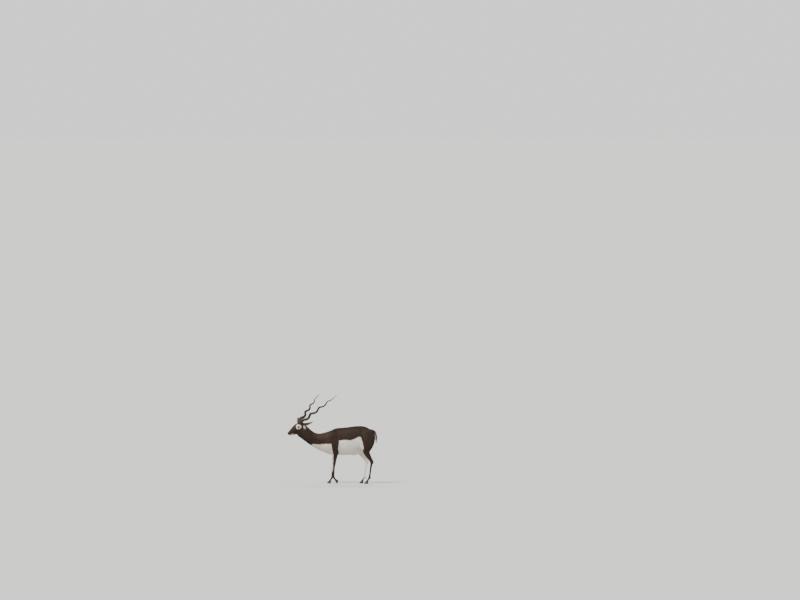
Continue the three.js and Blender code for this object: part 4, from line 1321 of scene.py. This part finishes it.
def coat_ear(side, ear, rng, material):
    """Short brown hair outside, and long pale hair that leans over the cup from both its edges."""
    root, along, across, opening = ear_frame(side)
    share, inside, down = (read_value(ear.data, name) for name in ("share", "inside", "down"))

    def density(p, tri):
        cup = inside[tri].mean(axis=1) > 0.5
        inner = 0.18 + 1.2 * smooth(0.35, 0.75, np.abs(share[tri]).mean(axis=1))
        return np.where(cup, inner, 1.15) * smooth(1.02, 0.95, down[tri].mean(axis=1))

    place, normal, spot = seeds_on(ear.data, rng, density)
    count = len(place)
    t = np.clip(((place - root) @ along) / EAR_LENGTH, 0, 1)
    line_point = root + along * (t * EAR_LENGTH)[:, None]
    sideways = (place - line_point) @ across
    # Inside the cup the surface faces the axis of its roll
    radius, _, bow = ear_section(t)
    axis_point = line_point + opening * (bow + radius)[:, None]
    cup = ((axis_point - place) * normal).sum(axis=1) > 0
    edge = np.clip(np.abs(sideways) / radius, 0, 1)
    lean = np.where(cup, -0.45 * np.sign(sideways), 0.0)
    flow = along_skin(along + across * lean[:, None], normal)
    length = np.where(cup, 9 + 12 * edge, 7.5) * (1 - 0.45 * t)
    width = np.where(cup, 0.5, 0.62)
    lift = np.where(cup, 0.30, 0.10)
    tone = np.where(cup, 0.5 + 0.45 * rng.random(count), 0.02 + 0.10 * rng.random(count))
    coat_piece("coat_ear_" + side, (place, normal, spot), flow, (length, width), lift, tone, rng, material)


# Eyes
def build_eye(side, material):
    out = -SIGN[side]
    eye = ball("eye_" + side + "_ball", segments=64, rings=40, radius=EYE_RADIUS / 1000 * EYE_FIT)
    mesh = eye.data
    p = read_places(mesh)
    gaze, ahead, up = eye_frame(out)
    axes = unit(np.stack([ahead, up, gaze]) @ HEAD_AXES)
    bulge = 1 + 0.03 * np.exp(-((p[:, 0] ** 2 + p[:, 1] ** 2) / 0.011 ** 2)) * (p[:, 2] > 0)
    p = p * bulge[:, None]
    write_places(mesh, p @ axes + to_frame(from_head(0, out * EYE_ACROSS, 0)))
    if np.linalg.det(axes) < 0:
        mesh.flip_normals()
    shade_smooth(mesh)
    # Distance from the pupil's middle in mm, the pupil lying broad
    iris = np.hypot(p[:, 0] / 1.18, p[:, 1]) * 1000
    give_value(mesh, "iris", np.where(p[:, 2] > 0, iris, 30))
    mesh.materials.append(material)
    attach(eye, "root")
    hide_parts("eye_" + side)


# Hooves and dewclaws
def claws():
    """The name of each claw, its foot, and the side of the foot it stands on."""
    for word, foot in FEET.items():
        outer = math.copysign(1, foot["y"])
        yield word + "_outer", foot, outer
        yield word + "_inner", foot, -outer


def build_hooves(material):
    # Share of the hoof's length and of its width, from heel to toe
    plan = np.array([[0, 0.3], [0.1, 0.72], [0.36, 0.97], [0.62, 0.88], [0.86, 0.5], [1, 0.12]])
    wall = spline(plan, np.linspace(0, 5, 21))
    share = np.concatenate([wall[:, 0], np.linspace(0.97, 0.06, 9)])
    side = np.concatenate([wall[:, 1], np.zeros(9)])
    for name, foot, out in claws():
        rings = []
        for rise in np.linspace(0, 1, 17):
            back = 0.03 * smooth(0.45, 1, rise)
            front = np.interp(rise, [0, 0.45, 1], [1, 0.83, 0.63])
            wide = np.interp(rise, [0, 0.06, 0.45, 1], [0.97, 1.0, 0.95, 0.84])
            along = HOOF_LENGTH * blend(back, front, share)
            groove = 0.35 * np.sin(rise * 34) * (side > 0.2)
            across = 1.3 + (HOOF_WIDTH * wide - 0.4 + groove) * side
            rings.append(foot_point(foot, along, out * across, rise * (coronet_height(along) - 0.6)))
        rings = np.array(rings)
        rings[..., 2] = np.maximum(rings[..., 2], 0.0)
        hoof = skin_over_rings("hoof_" + name + "_wall", rings)
        finish_closed(hoof, material)
        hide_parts("hoof_" + name)


def build_dewclaws(material):
    """Blunt, horny studs that point down behind the fetlocks."""
    for name, foot, out in claws():
        lean = -0.9 if foot["flexed"] else -0.35
        drop = 2 if foot["flexed"] else -12
        claw = ball("dewclaw_" + name + "_stud", segments=24, rings=16, radius=1)
        p = read_places(claw.data)
        low = np.clip(-p[:, 2], 0, 1)
        x = p[:, 0] * 6.0 * (1 - 0.28 * low)
        y = p[:, 1] * 5.0 * (1 - 0.2 * low)
        z = p[:, 2] * 9.0
        c, k = math.cos(lean), math.sin(lean)
        turned = np.stack([x * c + z * k, y, z * c - x * k], axis=1)
        centre = np.array([foot["x"] + 13.5, foot["y"] + out * 9.0, foot["z"] + drop])
        write_places(claw.data, to_frame(turned + centre))
        shade_smooth(claw.data)
        finish_closed(claw, material)
        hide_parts("dewclaw_" + name)


def finish_closed(piece, material):
    edit(piece, lambda: bpy.ops.mesh.normals_make_consistent(inside=False))
    piece.data.materials.append(material)
    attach(piece, "root")


# Make everything
skin = build_skin()
unwrap(skin, 0.001)
skin_places = to_part(read_places(skin.data))
give_value(skin.data, "tone", tone_of(skin_places, read_normals(skin.data)))
give_value(skin.data, "bare", bare_share(skin_places))
skin.data.materials.append(new_material("coat_skin", skin_surface))
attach(skin, "root")
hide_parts(*FLESH)

hair = new_material("coat_hair", hair_surface)
rng = np.random.default_rng(COAT_SEED)
roots = seeds_on(skin.data, rng, lambda p, tri: tuft_size(p)[2] * coat_cover(p))
on_head = head_share(roots[0]) > 0.5
order = np.lexsort((roots[0][:, 0], on_head))
for k, chunk in enumerate(np.array_split(order, math.ceil(len(order) / PIECE_TUFTS))):
    place, normal, spot = (values[chunk] for values in roots)
    length, width, _ = tuft_size(place)
    tone = tone_of(place, normal, rng.normal(0, 4.0, len(chunk)))
    lift = 0.085 + 0.05 * tail_share(place)
    flow = lie_of(place, normal)
    coat_piece(f"coat_{k + 1:02d}", (place, normal, spot), flow, (length, width), lift, tone, rng, hair)

horns = new_material("horn", horn_surface)
eyes = new_material("eye", eye_surface)
ear_skin = new_material("ear_skin", skin_surface)
keratin = new_material("hoof", hoof_surface)
for side in ("left", "right"):
    build_horn(side, horns)
    coat_ear(side, build_ear(side, ear_skin), rng, hair)
    build_eye(side, eyes)
build_hooves(keratin)
build_dewclaws(keratin)

# Floor, light and camera
FLOOR_COLOUR = (0.43, 0.425, 0.415, 1)
bpy.ops.object.select_all(action="DESELECT")
bpy.ops.mesh.primitive_plane_add(size=1200)
floor = bpy.context.object
floor.name = "floor"
floor.data.materials.append(
    new_material("floor_pale", lambda tree: {"Base Color": FLOOR_COLOUR, "Roughness": 0.9})
)

# The sky lights the model softly, reflects darker, and looks to the camera like the lit floor
SKY_COLOUR = (0.95, 0.97, 1.0, 1)
SKY_STRENGTH = 1.15
SKY_REFLECTED = 0.55
FLOOR_SEEN = (1.20, 1.20, 1.185, 1)
world = bpy.data.worlds.new("studio")
bpy.context.scene.world = world
world.use_nodes = True
sky = world.node_tree
sky.nodes.clear()
ray = add_node(sky, "LightPath", {})


def background(colour, strength):
    return add_node(sky, "Background", {"Color": colour, "Strength": strength}).outputs[0]


def either(kind_of_ray, other, chosen):
    return add_node(sky, "MixShader", {"Fac": ray.outputs[kind_of_ray], 1: other, 2: chosen}).outputs[0]


shown = either("Is Glossy Ray", background(SKY_COLOUR, SKY_STRENGTH), background(SKY_COLOUR, SKY_REFLECTED))
shown = either("Is Camera Ray", shown, background(FLOOR_SEEN, 1.0))
add_node(sky, "OutputWorld", {"Surface": shown})


def look_along(made, way):
    made.rotation_mode = "QUATERNION"
    made.rotation_quaternion = Vector(way).to_track_quat("-Z", "Y")


def sun(name, way, strength, spread, colour):
    light = bpy.data.lights.new(name, "SUN")
    light.energy = strength
    light.angle = math.radians(spread)
    light.color = colour
    look_along(new_object(name, light), way)


sun("key_light", (0.55, 0.75, -1.0), 4.7, 12, (1.0, 0.97, 0.93))
sun("fill_light", (-0.9, 0.35, -0.6), 1.3, 40, (0.93, 0.96, 1.0))
sun("back_light", (0.1, -1.0, -0.8), 1.9, 30, (1.0, 0.98, 0.95))

# The photo's frame: 800 pixels wide, 14.1 mm a pixel at the animal, which stands left of its middle and low
PIXEL = 0.0141
PHOTO_WIDTH = 800
PHOTO_MIDDLE = (0.953, 0.0, 2.594)
SENSOR = 36
CAMERA_DISTANCE = 125.0
CAMERA_TILT = math.radians(1.5)
camera_data = bpy.data.cameras.new("camera")
camera_data.sensor_width = SENSOR
camera_data.lens = SENSOR * CAMERA_DISTANCE / (PIXEL * PHOTO_WIDTH)
camera_data.clip_start = 1
camera_data.clip_end = 2000
camera = new_object("camera", camera_data)
look = Vector((0, math.cos(CAMERA_TILT), -math.sin(CAMERA_TILT)))
camera.location = Vector(PHOTO_MIDDLE) - look * CAMERA_DISTANCE
look_along(camera, look)
bpy.context.scene.camera = camera
